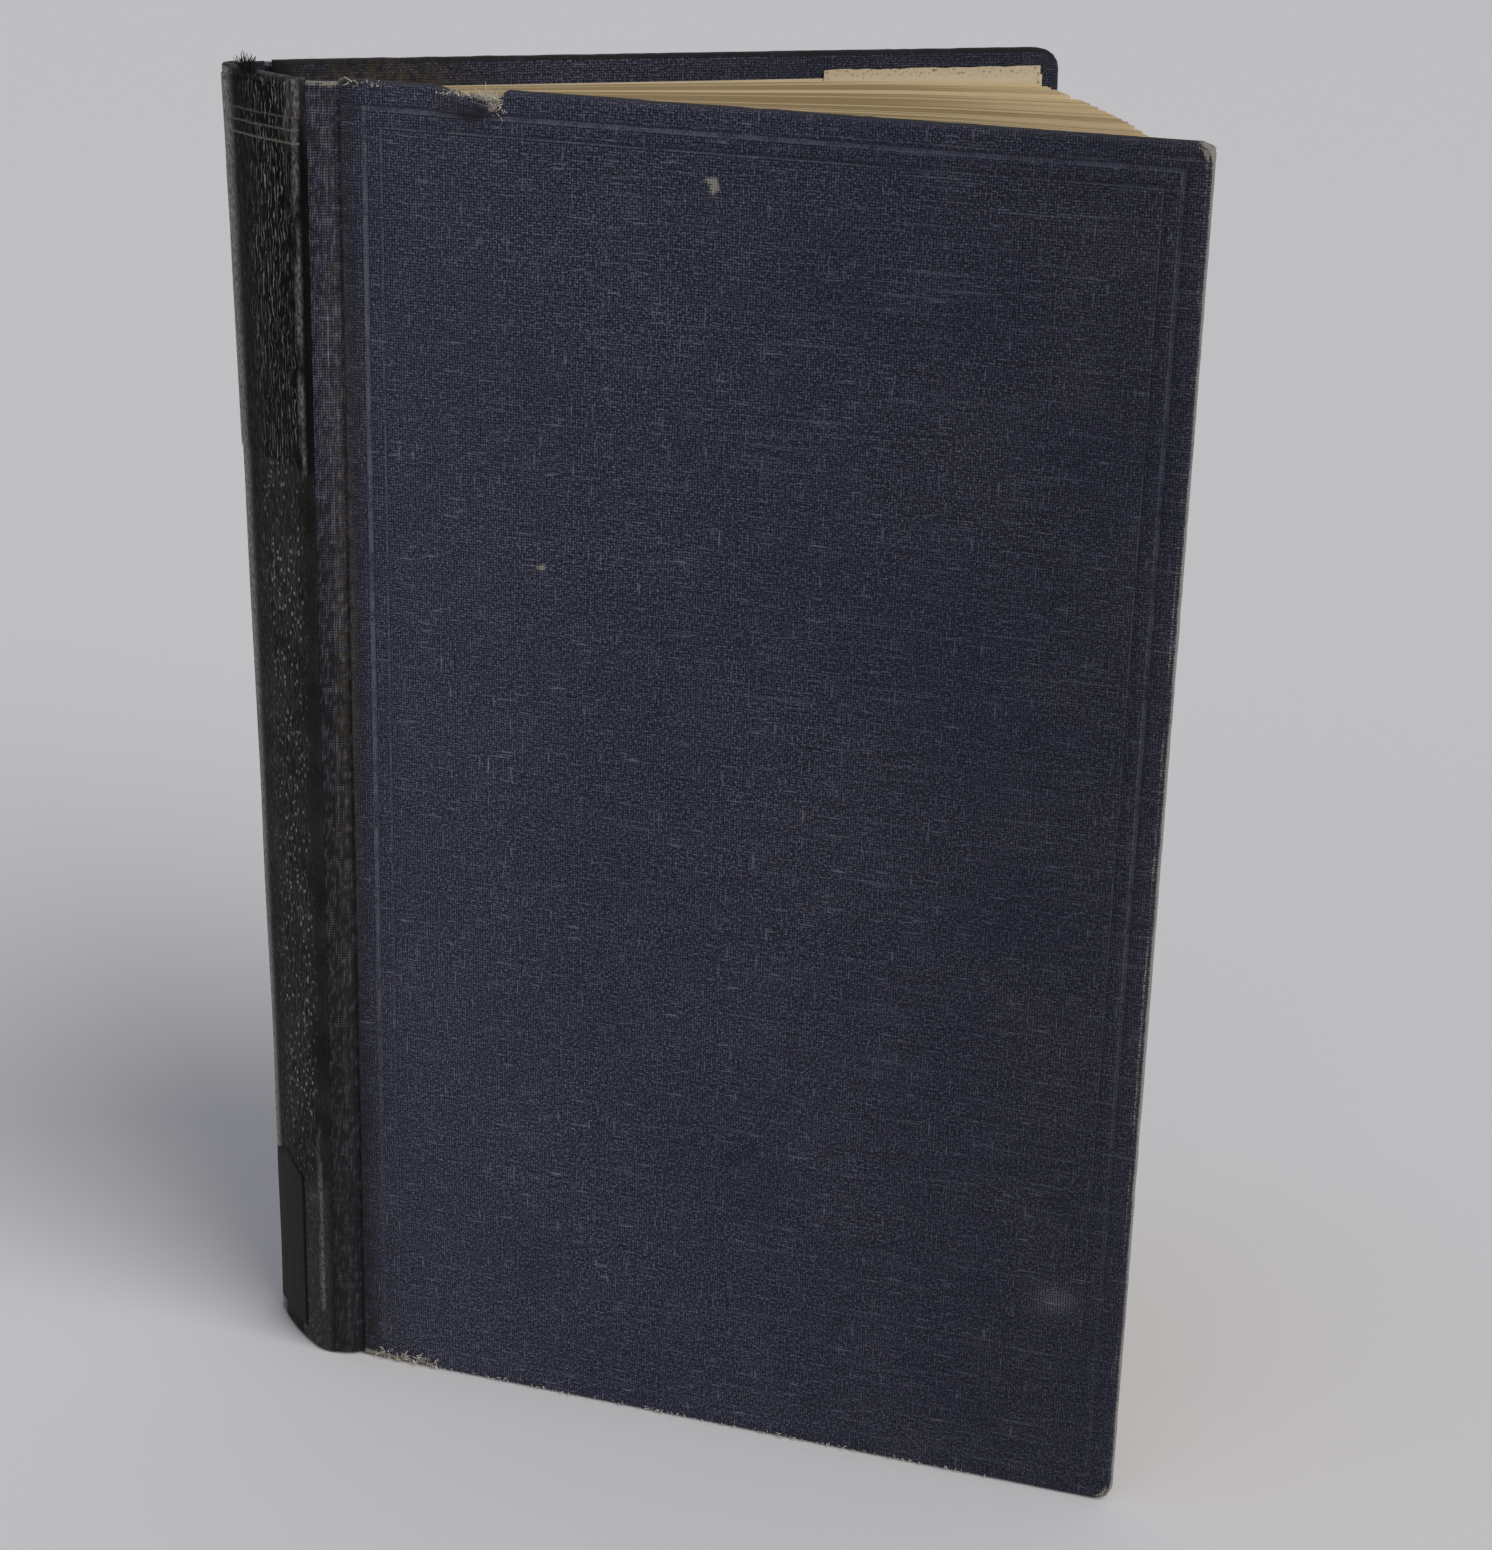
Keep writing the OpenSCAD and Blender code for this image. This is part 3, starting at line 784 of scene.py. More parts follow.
@dataclass
class Cover:
    """Book cloth wrapped round one board, with its turn-ins."""

    body: Body
    node: str
    seed: int
    rules: bool
    head_radius: float
    fore_radius: float = 1.8
    bevel: float = 0.7
    step: float = 1.5
    turn_in: float = 14.1
    skin: float = 0.45
    # Distances from the edges of the walls of both blind rules, and half the width of a wall.
    walls: tuple[float, ...] = (3.84, 4.71, 7.0, 7.4)
    slope: float = 0.09
    # The stretch of the head edge that was crushed.
    knock: tuple[float, float] = (14.0, 32.0)
    # Start, end, width and strength of each scratch on the front cover.
    scratches: tuple = (
        ((64.4, 223.4), (65.3, 222.7), 1.3, 1.0), ((103.1, 204.8), (104.0, 204.8), 0.8, 0.7),
        ((98.0, 223.2), (98.5, 223.2), 0.7, 0.5), ((28.9, 157.9), (36.0, 157.6), 0.8, 0.5),
        ((36.0, 157.6), (44.9, 155.4), 0.7, 0.42), ((16.2, 151.2), (23.5, 152.0), 0.7, 0.42))

    def __post_init__(self) -> None:
        """Prepares the noise and the limits."""
        self.noise = Noise(self.seed)
        self.x0, self.x1, self.z1 = PLAN.joint_gap - 0.25, PLAN.joint_gap + PLAN.width, PLAN.height

    def lines(self, low: float, high: float) -> Array:
        """Grid lines across one direction, with close ones at the rules' walls.

        Args:
            low: First line.
            high: Last line.

        Returns:
            Sorted places.
        """
        even = np.linspace(low + self.bevel, high - self.bevel, int((high - low) / self.step))
        walls = [m + side for m in self.walls for side in (-self.slope, self.slope)] if self.rules else []
        extra = [v for w in walls for v in (low + w, high - w)]
        return np.array(sorted([*(v for v in even if all(abs(v - e) > 0.2 for e in extra)), *extra]))

    def rounded(self, x: Array, z: Array) -> tuple[Array, Array]:
        """Draws the fore-edge corners in along rounded outlines.

        Args:
            x: Places along the cover.
            z: Heights.

        Returns:
            The moved places.
        """
        for z_edge, sign, radius in ((self.z1, 1, self.head_radius), (0.0, -1, self.fore_radius)):
            cx, cz = self.x1 - radius, z_edge - sign * radius
            dx, dz = (x - cx) / radius, sign * (z - cz) / radius
            inside = (dx > 0) & (dz > 0)
            power = 3.0 if radius > 4 else 2.0
            length = np.maximum((np.abs(dx) ** power + np.abs(dz) ** power) ** (1 / power), 1e-6)
            scale = radius * np.maximum(dx, dz) / length
            x, z = np.where(inside, cx + dx * scale, x), np.where(inside, cz + sign * dz * scale, z)
        return x, z

    def grooves(self, x: Array, z: Array) -> Array:
        """Depth of the blind rules.

        Args:
            x: Places along the cover.
            z: Heights.

        Returns:
            Depth in mm.
        """
        edge = np.minimum.reduce([x - PLAN.joint_gap, self.x1 - x, z, self.z1 - z])
        a, b, c, d = (ramp(edge, wall - self.slope, wall + self.slope) for wall in self.walls)
        return (0.2 * a * (1 - b) + 0.14 * c * (1 - d)) * (0.3 + 0.7 * ramp(z, 30, 120)) * self.rules

    def crushed(self, x: Array, z: Array) -> Array:
        """Heights after the blow that crushed the head edge of the front cover."""
        drop = ramp(x, 15.5, 26.5) * (1 - ramp(x, 28.9, 29.9)) * (1.2 + 0.8 * self.noise.at(x / 0.9, 3.0))
        return z - drop * ramp(z, 229.5, 234.4) * (self.body is Body.FRONT)

    def relief(self, x: Array, z: Array) -> Array:
        """Dents and warp of the outer face: its inward offset in mm."""
        dent = band(x, 23.5, 6.5) * ramp(z, 229.5, 235.5) * (0.6 + 0.4 * self.noise.at(x / 1.3, z / 1.3))
        return 0.16 * (self.noise.layered(x / 26, z / 26) - 0.5) + 0.24 * dent * (self.body is Body.FRONT)

    def paint(self, x: Array, z: Array, rim: Array) -> dict[str, Array]:
        """Wear, rubbing, stains and grime, with painted shadow under the dented head edge and painted light
        near the joint of the front cover.

        Args:
            x: Places along the cover.
            z: Heights.
            rim: 1 on the very edge, 0 on the faces.

        Returns:
            Painted values by name.
        """
        patchy = self.noise.layered(x / 7, z / 7)
        corner = np.minimum(np.hypot(x - self.x1, z - self.z1), np.hypot(x - self.x1, z) * 0.9)
        wear = (0.42 * patchy + 0.5 * ramp(x, self.x1 - 1.6, self.x1)) * rim
        wear = wear + 0.24 * ramp(-z, -1.5, 0) + 0.62 * (1 - ramp(corner, 0.8, 3.6))
        rub = 0.05 * ramp(patchy, 0.5, 0.9) + 0.3 * rim * ramp(x, self.x1 - 0.8, self.x1)
        # Darker in a strip along the joint edge, and more so towards the tail near the joint.
        grime = 0.8 * (1 - ramp(x, 2.0, 6.0)) + 0.3 * (1 - ramp(x, 4, 14)) * ramp(-z, -120, 0)
        if self.body is Body.FRONT:
            foot = 0.6 * ramp(-z, -2.6, -0.4) * (1 - ramp(x, 6, 22)) * (1 - 0.3 * rim)
            head = (0.42 - 0.14 * rim) * ramp(x, 16, 21) * (1 - ramp(x, 29, 30)) * ramp(z, 233.0, 234.6)
            torn = 0.75 * spot(x, z, (27.8, 233.2), (1.3, 1.4)) * (1 - 0.5 * rim)
            wear = wear + foot + head + torn + 0.5 * (1 - ramp(x, 0.8, 3.2)) * ramp(z, 232.0, 234.6)
            for (x0, z0), (x1, z1), size, strength in self.scratches:
                dx, dz = x1 - x0, z1 - z0
                share = np.clip(((x - x0) * dx + (z - z0) * dz) / (dx * dx + dz * dz), 0, 1)
                wear = wear + strength * spot(x, z, (x0 + share * dx, z0 + share * dz), (size, size))
            # Painted shadow: a dark crescent under the fold of the dented head edge.
            grime = grime + 1.1 * band(x, 23.5, 5.0) * ramp(z, 229.0, 231.0) * (1 - ramp(z, 233.0, 234.2))
            grime = grime + 0.7 * spot(x, z, (72.7, 53.9), (1.6, 1.1))
            stain = 0.8 * (1 - ramp(x, 1.0, 2.4)) * band(z, 150, 62)
            rub = rub + 0.5 * spot(x, z, (130.7, 37.8), (3.4, 2.2))
            # Painted light: the part near the joint is lighter; the head rim is rubbed.
            rub = rub + 0.07 * (1 - ramp(x, 12, 55)) + 0.1 * ramp(z, 233.6, 235)
        else:
            grime = grime + (0.2 + 0.6 * (1 - ramp(x, 22, 48))) * ramp(z, 219, 226)
            stain = 0.8 * band(x, 20, 14) * ramp(z, 219, 226) * (1 - 0.75 * ramp(z, 231.0, 234.0))
        return {"wear": np.clip(wear, 0, 1.2), "rub": np.clip(rub, 0, 1), "stain": stain, "grime": grime,
                "far": x / self.x1, "ruled": self.rules * (1 - rim)}

    def build(self, material: Material) -> Thing:
        """Makes the cloth.

        Args:
            material: Its material.

        Returns:
            The object that replaces the CAD cloth.
        """
        xs, zs = self.lines(self.x0, self.x1), self.lines(0.0, self.z1)
        if self.body is Body.FRONT:
            low, high = self.knock
            xs = np.union1d(xs[(xs < low) | (xs > high)], np.linspace(low, high, 55))
            zs = np.union1d(zs, np.linspace(231, 234, 7))
        gx, gz = np.meshgrid(xs, zs)
        x, z = self.rounded(gx, gz)
        border = np.minimum.reduce([gx - xs[0], xs[-1] - gx, gz - zs[0], zs[-1] - gz])
        y = np.clip(self.grooves(x, z) + self.relief(x, z), -0.3, 1.2)
        y = y + 0.06 + 0.05 * (1 - ramp(border, 0, 2.5))
        values = self.paint(x, z, 1 - ramp(border, 0, 0.8))
        if self.body is Body.REAR:
            values["stain"] = values["stain"] * ramp(z, 233.0, 234.3)
        sheet = Sheet()
        sheet.add(self.body.place(x, y, self.crushed(x, z)), joined(x, z), **values)
        self.wrap(sheet, gx, gz, y)
        return sheet.build(self.node + "_dressed", material, self.body, "book_cloth", self.node)

    def wrap(self, sheet: Sheet, gx: Array, gz: Array, face: Array) -> None:
        """Adds the rounded edges, the turn-ins and the step down to the board.

        Args:
            sheet: The mesh in the making.
            gx: Places along the cover of the outer face's grid.
            gz: Heights of that grid.
            face: Depths of its points.
        """
        rx, rz, first = outline(gx), outline(gz), outline(face)
        (x0, x1), (z0, z1) = (gx[0, 0], gx[0, -1]), (gz[0, 0], gz[-1, 0])
        nx = 1.0 * np.isclose(rx, x1) - np.isclose(rx, x0)
        nz = 1.0 * np.isclose(rz, z1) - np.isclose(rz, z0)
        deep, bevel = PLAN.thickness, self.bevel
        board = deep - self.skin
        rough = 0.3 * (self.noise.layered(rx / 2.1 + rz / 3.1, rz / 2.1 - rx / 4) - 0.6)
        worn = 0.5 * ramp(self.noise.at(rx / 9, rz / 9), 0.5, 0.9) + 0.5
        rows, rims = [], []
        for out, y in ((0.0, None), (0.42, 0.17), (0.75, 0.36), (0.95, 0.62), (1.0, 1.0), (1.0, 1.5),
                       (1.0, deep - 0.9), (0.93, deep - 0.55), (0.7, deep - 0.26), (0.35, deep - 0.07),
                       (0.0, deep)):
            push = out * (bevel + rough * worn)
            x, z = self.rounded(rx + nx * push, rz + nz * push)
            y = first if y is None else np.maximum(y, first * (y < 1.4))
            rows.append((x, y, np.clip(z, 0.02, PLAN.height + 0.05)))
            rims.append(out)
        for inset, y in ((5.0, deep), (12.9, deep), (13.7, deep - 0.03), (self.turn_in, board)):
            x = x0 + 0.6 + (rx - x0) / (x1 - x0) * (x1 - inset - x0 - 0.6)
            z = z0 + inset + (rz - z0) / (z1 - z0) * (z1 - z0 - 2 * inset)
            rows.append((x, np.full_like(rx, y), z))
            rims.append(0.0)
        x, y, z = np.array(rows).transpose(1, 0, 2)
        paper = self.turn_in + 0.4
        under_paper = (nx < 0) & (z > paper) & (z < PLAN.height - paper)
        y = np.where(under_paper, np.minimum(y, board), y)
        rim = np.array(rims)[:, None] * np.ones_like(x)
        values = self.paint(x, z, rim)
        # Painted shade: a dark band on the inner part of the head rim, beside the leaves.
        values["grime"] = values["grime"] + 1.3 * ramp(y, 0.3, 0.8) * (nz > 0) * (rim > 0.2)
        flat = joined(x + nx * y, z + nz * y)
        sheet.add(self.body.place(x, y, self.crushed(x, z)), flat, closed=True, flip=True, **values)

    def board(self, material: Material) -> Thing:
        """Makes the board, crushed together with its cloth.

        Args:
            material: Its material.

        Returns:
            The object that replaces the CAD board.
        """
        skin = self.skin
        ends = [PLAN.joint_gap + skin], [self.x1 - 2, self.x1 - skin]
        xs = np.concatenate([ends[0], np.linspace(*self.knock, 60), ends[1]])
        corner = np.where(xs > self.x1 - 1, 1.6, 0.0)
        top, foot = self.crushed(xs, np.full_like(xs, self.z1 - skin)) - corner, corner + skin
        ys = np.array([skin, PLAN.thickness - skin, PLAN.thickness - skin, skin])
        zs = np.stack([foot, foot, top, top], 1)
        points = self.body.place(xs[:, None], ys[None, :], zs)
        flat = joined(xs[:, None], zs)
        sheet = Sheet()
        sheet.add(points, flat, closed=True)
        for row, order in ((0, [0, 1, 3, 2]), (-1, [1, 0, 2, 3])):
            sheet.add(points[row][order].reshape(2, 2, 3), flat[row][order].reshape(2, 2, 2))
        return sheet.build("front_board_dressed", material, self.body, "cover_board", "front_board", False)


@dataclass
class JointCloth:
    """Navy cloth that crosses one hinge line, in a shallow groove beside the board."""

    body: Body
    name: str
    seed: int
    reach: float = 0.72
    # Places beside the hinge where the strip goes down behind the board: along the cover and deep.
    descent: tuple = ((0.15, 0.2), (0.5, 0.38), (0.85, 0.62), (1.25, 1.0), (1.6, 1.2))

    def ridge(self, u: float, z: Array, sink: float) -> Array:
        """Points on the ridge of the back at this joint, so far round it and so deep."""
        return PLAN.spine(u if self.body is Body.FRONT else 3 - u, z, sink)

    def build(self, material: Material) -> Thing:
        """Makes the strip.

        Args:
            material: Its material.

        Returns:
            The strip.
        """
        noise = Noise(self.seed)
        zs = np.linspace(0.4, PLAN.height - 0.4, 300)
        us = np.linspace(0.0, self.reach, 20)[::-1]
        columns = [self.ridge(u, zs, 0.55 * min(u, 0.57) - 0.1 + 0.3 * ramp(u, 0.58, 0.7)) for u in us]
        columns += [self.body.place(x, y, zs) for x, y in self.descent]
        along, z = np.array([*(-8.5 * us), *(x for x, _ in self.descent)])[None, :], zs[:, None]
        wave = 0.07 * (noise.layered(along / 3, z / 8) - 0.5) * MM
        points = np.stack(columns, 1) + wave[..., None] * np.array([0.4, -1.0, 0.0])
        low = 1 - z / PLAN.height
        stripe = band(along, -0.1, 0.6)
        line = band(along + 0.5 * noise.at(0.0, z / 30), -0.9, 0.28)
        wear = 0.72 * ramp(z, 232.6, 234.5) + 0.25 * stripe * noise.layered(along / 2, z / 14)
        wear = wear + 0.3 * band(along, -4.6, 0.3) * (1 - low)
        stain = 0.45 * stripe * band(z, 150, 65) + 0.25 * line * ramp(low, 0.3, 0.5)
        streaks = ramp(noise.layered(along * 2, z / 6), 0.35, 0.7)
        rub = 0.03 + 0.85 * line * streaks * (1 - ramp(low, 0.3, 0.6))
        rub = rub + 0.6 * ramp(noise.layered(along * 3.1, z * 0.9), 0.5, 0.75) * (1 - 0.6 * low)
        sheet = Sheet()
        # The strip is painted dark all over, and darker towards the tail.
        sheet.add(points, joined(along, z), flip=self.body is Body.REAR,
                  wear=wear, grime=0.72 + 0.9 * ramp(low, 0.25, 0.55), stain=stain, rub=rub)
        made = sheet.build(self.name, material, None, "book_cloth")
        halfway = PLAN.height / 2
        behind, ahead = self.ridge(0.22, np.array(halfway), 0.2), self.body.place(1.5, 0.8, halfway)
        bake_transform(made)
        return made


@dataclass
class SpineCovering:
    """Black grained strip over the back, turned in at head and tail."""

    low: float = 0.5
    step: float = 0.55
    seed: int = 31
    skin: float = 0.35
    # Share of the way in and height over the end, for each row of a turn-in.
    turned_in: tuple = ((0.0, 0.35), (0.1, 0.14), (0.28, 0.02), (0.6, 0.0), (0.82, 0.1), (0.95, 0.3),
                        (1.0, 0.8), (1.0, 4.0), (1.0, 11.8), (0.9, 12.0))

    def __post_init__(self) -> None:
        """Prepares the noise."""
        self.noise = Noise(self.seed)

    def columns(self, low: float, high: float, step: float) -> tuple[Array, Array]:
        """Even places round the back.

        Args:
            low: First place, 0 to 3.
            high: Last place.
            step: Distance between them in mm.

        Returns:
            The places, and their distances from the covering's front edge in mm.
        """
        us, along = PLAN.stations(low, high, step)
        start = PLAN.stations(self.low, low, 0.1)[1][-1] if low > self.low else 0.0
        return us, along + start

    def crease(self, z: Array) -> Array:
        """Distance of the upright crease beside the joint from the covering's front edge, in mm."""
        return 1.9 + 0.35 * (self.noise.at(z / 26, 5.0) - 0.5)

    def relief(self, along: Array, z: Array) -> Array:
        """Dents and creases of the covering.

        Args:
            along: Distance round the back in mm.
            z: Height in mm.

        Returns:
            Inward offset in mm.
        """
        soft = 0.35 * (self.noise.layered(along / 9, z / 30) - 0.5)
        creases = 0.1 * (self.noise.at(along / 1.1, z / 12) - 0.5)
        off = along - self.crease(z)
        groove = 0.34 * band(off, -0.6, 0.42) - 0.16 * band(off, 0.0, 0.4)
        return soft + creases + groove * (0.35 + 0.65 * ramp(z, 150, 172))

    def depth(self, along: Array, z: Array) -> Array:
        """Inward offset in mm, kept small at the very ends."""
        calm = np.minimum(ramp(z, 0, 4), ramp(-z, -PLAN.height, 4 - PLAN.height))
        return self.relief(along, z) * (0.4 + 0.6 * calm)

    def paint(self, along: Array, z: Array) -> dict[str, Array]:
        """Wear, rubbing, the black beside the title panel, painted highlights, and a painted reflection along
        the far side of the back.
            z: Height in mm.

        Returns:
            Painted values by name.
        """
        patch = self.noise.layered(along / 4, z / 9)
        streak = self.noise.layered(along / 0.7, z / 7)
        threads = ramp(streak, 0.3, 0.6)
        panel = ramp(z, 168.5, 170)
        wear = 0.28 * (ramp(z, 233.2, 235) + ramp(-z, -1.8, 0))
        wear = wear + 0.22 * (1 - ramp(along, 0.4, 3.0)) * (1 - panel) * ramp(patch, 0.35, 0.8)
        wear = wear + 0.2 * band(along, 4.0, 2.2) * ramp(patch, 0.5, 0.9) * (1 - ramp(z, 160, 172))
        wear = wear + 0.5 * spot(along, z, (4.2, 27.0), (1.2, 1.6))
        wear = wear + 0.42 * band(along, 2.6, 1.4) * ramp(z, 4, 7) * (1 - ramp(z, 10, 13))
        # Painted reflection: a lighter strip along the far side of the back.
        rub = ramp(along, 17.0, 20.5) * (0.6 + 0.4 * patch)
        # Painted highlight along the lip of the crease beside the title panel.
        rub = rub + 0.5 * band(along, self.crease(z), 0.42) * panel * threads
        strip = ramp(along, 0.3, 1.2) * (1 - ramp(along, 8.5, 9.5))
        rub = rub + 0.1 * strip * (1 - ramp(z, 31, 38)) * (0.4 + patch)
        rub = rub + 0.6 * band(along, 2.4, 0.3) * ramp(streak, 0.45, 0.7) * (1 - ramp(z, 36, 56))
        rub = rub + 0.3 * (1 - ramp(along, 3.0, 6.5)) * ramp(z, 222, 231) * threads
        glint = ramp(along, 1.6, 4.0) * (1 - 0.85 * ramp(along, 11, 16)) * (0.6 + 0.4 * ramp(patch, 0.3, 0.7))
        dark = 0.75 * panel * (1 - ramp(along, 1.1, 1.7)) * (1 - ramp(z, 224, 230))
        return {"wear": np.clip(wear, 0, 1), "rub": np.clip(rub, 0, 1), "dark": dark,
                "glint": glint * (1 - 0.6 * ramp(-z, -44, -34))}

    def build(self, material: Material) -> Thing:
        """Makes the covering.

        Args:
            material: Its material.

        Returns:
            The object that replaces the CAD covering.
        """
        zs = np.concatenate([[0.35], np.linspace(0.9, 234.1, 330), [234.65]])
        us, along = self.columns(self.low, 3 - self.low, self.step)
        u, z = np.meshgrid(us[[0, *range(len(us)), -1]], zs)
        s, _ = np.meshgrid(along[[0, *range(len(us)), -1]], zs)
        depth = self.depth(s, z)
        depth[:, [0, -1]] = self.skin
        sheet = Sheet()
        sheet.add(PLAN.spine(u, z, depth), joined(s, z), flip=True, **self.paint(s, z))
        for edge, sign in ((0.0, 1), (PLAN.height, -1)):
            self.turn_in(sheet, us, along, edge, sign)
        return sheet.build("spine_covering_dressed", material, Body.ROOT, "grained_covering",
                           "spine_covering")

    def turn_in(self, sheet: Sheet, us: Array, along: Array, edge: float, sign: int) -> None:
        """Adds the fold over one end of the back.

        Args:
            sheet: The mesh in the making.
            us: Places round the back.
            along: Their distances.
            edge: Height of the end.
            sign: 1 at the tail, -1 at the head.
        """
        share, rise = np.array(self.turned_in).T[..., None]
        inner = 1.05 + 0.65 * ramp(us, 0.85, 1.05) * (1 - ramp(us, 1.95, 2.15))
        wave = 0.18 * (self.noise.layered(along / 5, edge) - 0.5) * ((share > 0.02) & (share < 0.9))
        start = self.relief(along, np.full_like(along, edge)) * 0.4
        points = PLAN.spine(us, edge + sign * rise + 0.6 * wave, start * (1 - share) + share * inner)
        flat = joined(along, edge - sign * rise)
        wear = 0.34 * np.where((share > 0.05) & (share < 0.97), 1.0, 0.3)
        sheet.add(points, flat, flip=sign < 0, wear=wear, rub=0.16)


@dataclass
class SpineLabels:
    """Title panel and tail label, laid on the covering."""

    covering: SpineCovering
    foot: float = 3.0
    top: float = 38.1
    # Width and height of a clipped upper corner.
    clip: tuple[float, float] = (7.5, 3.4)

    def title(self, material: Material) -> Thing:
        """Makes the smooth title panel.

        Args:
            material: Its material.

        Returns:
            The object that replaces the CAD panel.
        """
        low = self.covering.low + 1 / 7
        zs = np.concatenate([[170.0, 170.04, 170.25], np.linspace(170.8, 232.8, 110), [233.3, 233.46, 233.5]])
        lifts = np.concatenate([[-0.1, 0.1, 0.2], np.full(110, 0.22), [0.2, 0.1, -0.1]])[:, None]
        us, along = self.covering.columns(low, 3 - low, self.covering.step)
        (u, z), (s, _) = np.meshgrid(us, zs), np.meshgrid(along, zs)
        flank = ramp(np.minimum(s - along[0], along[-1] - s), 0, 0.8)
        rough = 0.12 * (Noise(44).layered(s, z / 10) - 0.5)
        values = self.covering.paint(s, z)
        values["wear"] = values["wear"] * 0.6 + 0.25 * (1 - flank)
        sheet = Sheet()
        sheet.add(PLAN.spine(u, z, self.covering.depth(s, z) + (rough - lifts) * flank),
                  joined(s, z), flip=True, **values)
        return sheet.build("title_label_dressed", material, Body.ROOT, "smooth_covering", "title_label")

    def tail(self, material: Material) -> Thing:
        """Makes the tape label with its clipped corners.

        Args:
            material: Its material.

        Returns:
            The object that replaces the CAD label.
        """
        us, along = self.covering.columns(1 + 2 / 12, 1.99, 0.3)
        side = np.minimum(along - along[0], along[-1] - along)
        top = self.top - self.clip[1] * np.clip(1 - side / self.clip[0], 0, 1)
        share = np.concatenate([[0, 0.002, 0.02], np.linspace(0.05, 0.95, 40), [0.98, 0.998, 1.0]])[:, None]
        lift = 0.2 * ramp(np.minimum(share, 1 - share), 0, 0.02) + 0.02
        z = self.foot + share * (top - self.foot)
        depth = self.covering.depth(along + 0 * z, z) - lift * (0.1 + 0.9 * ramp(side, 0, 0.5))
        rim = 1 - ramp(np.minimum(np.minimum(side, z - self.foot), top - z), 0, 1.0)
        # Painted shadow: a dark line just inside the sides and the top, where the lifted edge would shade.
        line = 1 - np.minimum(ramp(side, 0.5, 0.9), ramp(top - z, 0.4, 0.9))
        sheet = Sheet()
        sheet.add(PLAN.spine(us, z, depth), joined(along, z), flip=True, wear=0.45 * rim, dark=line)
        return sheet.build("tail_label_dressed", material, Body.ROOT, "label_tape", "tail_label")


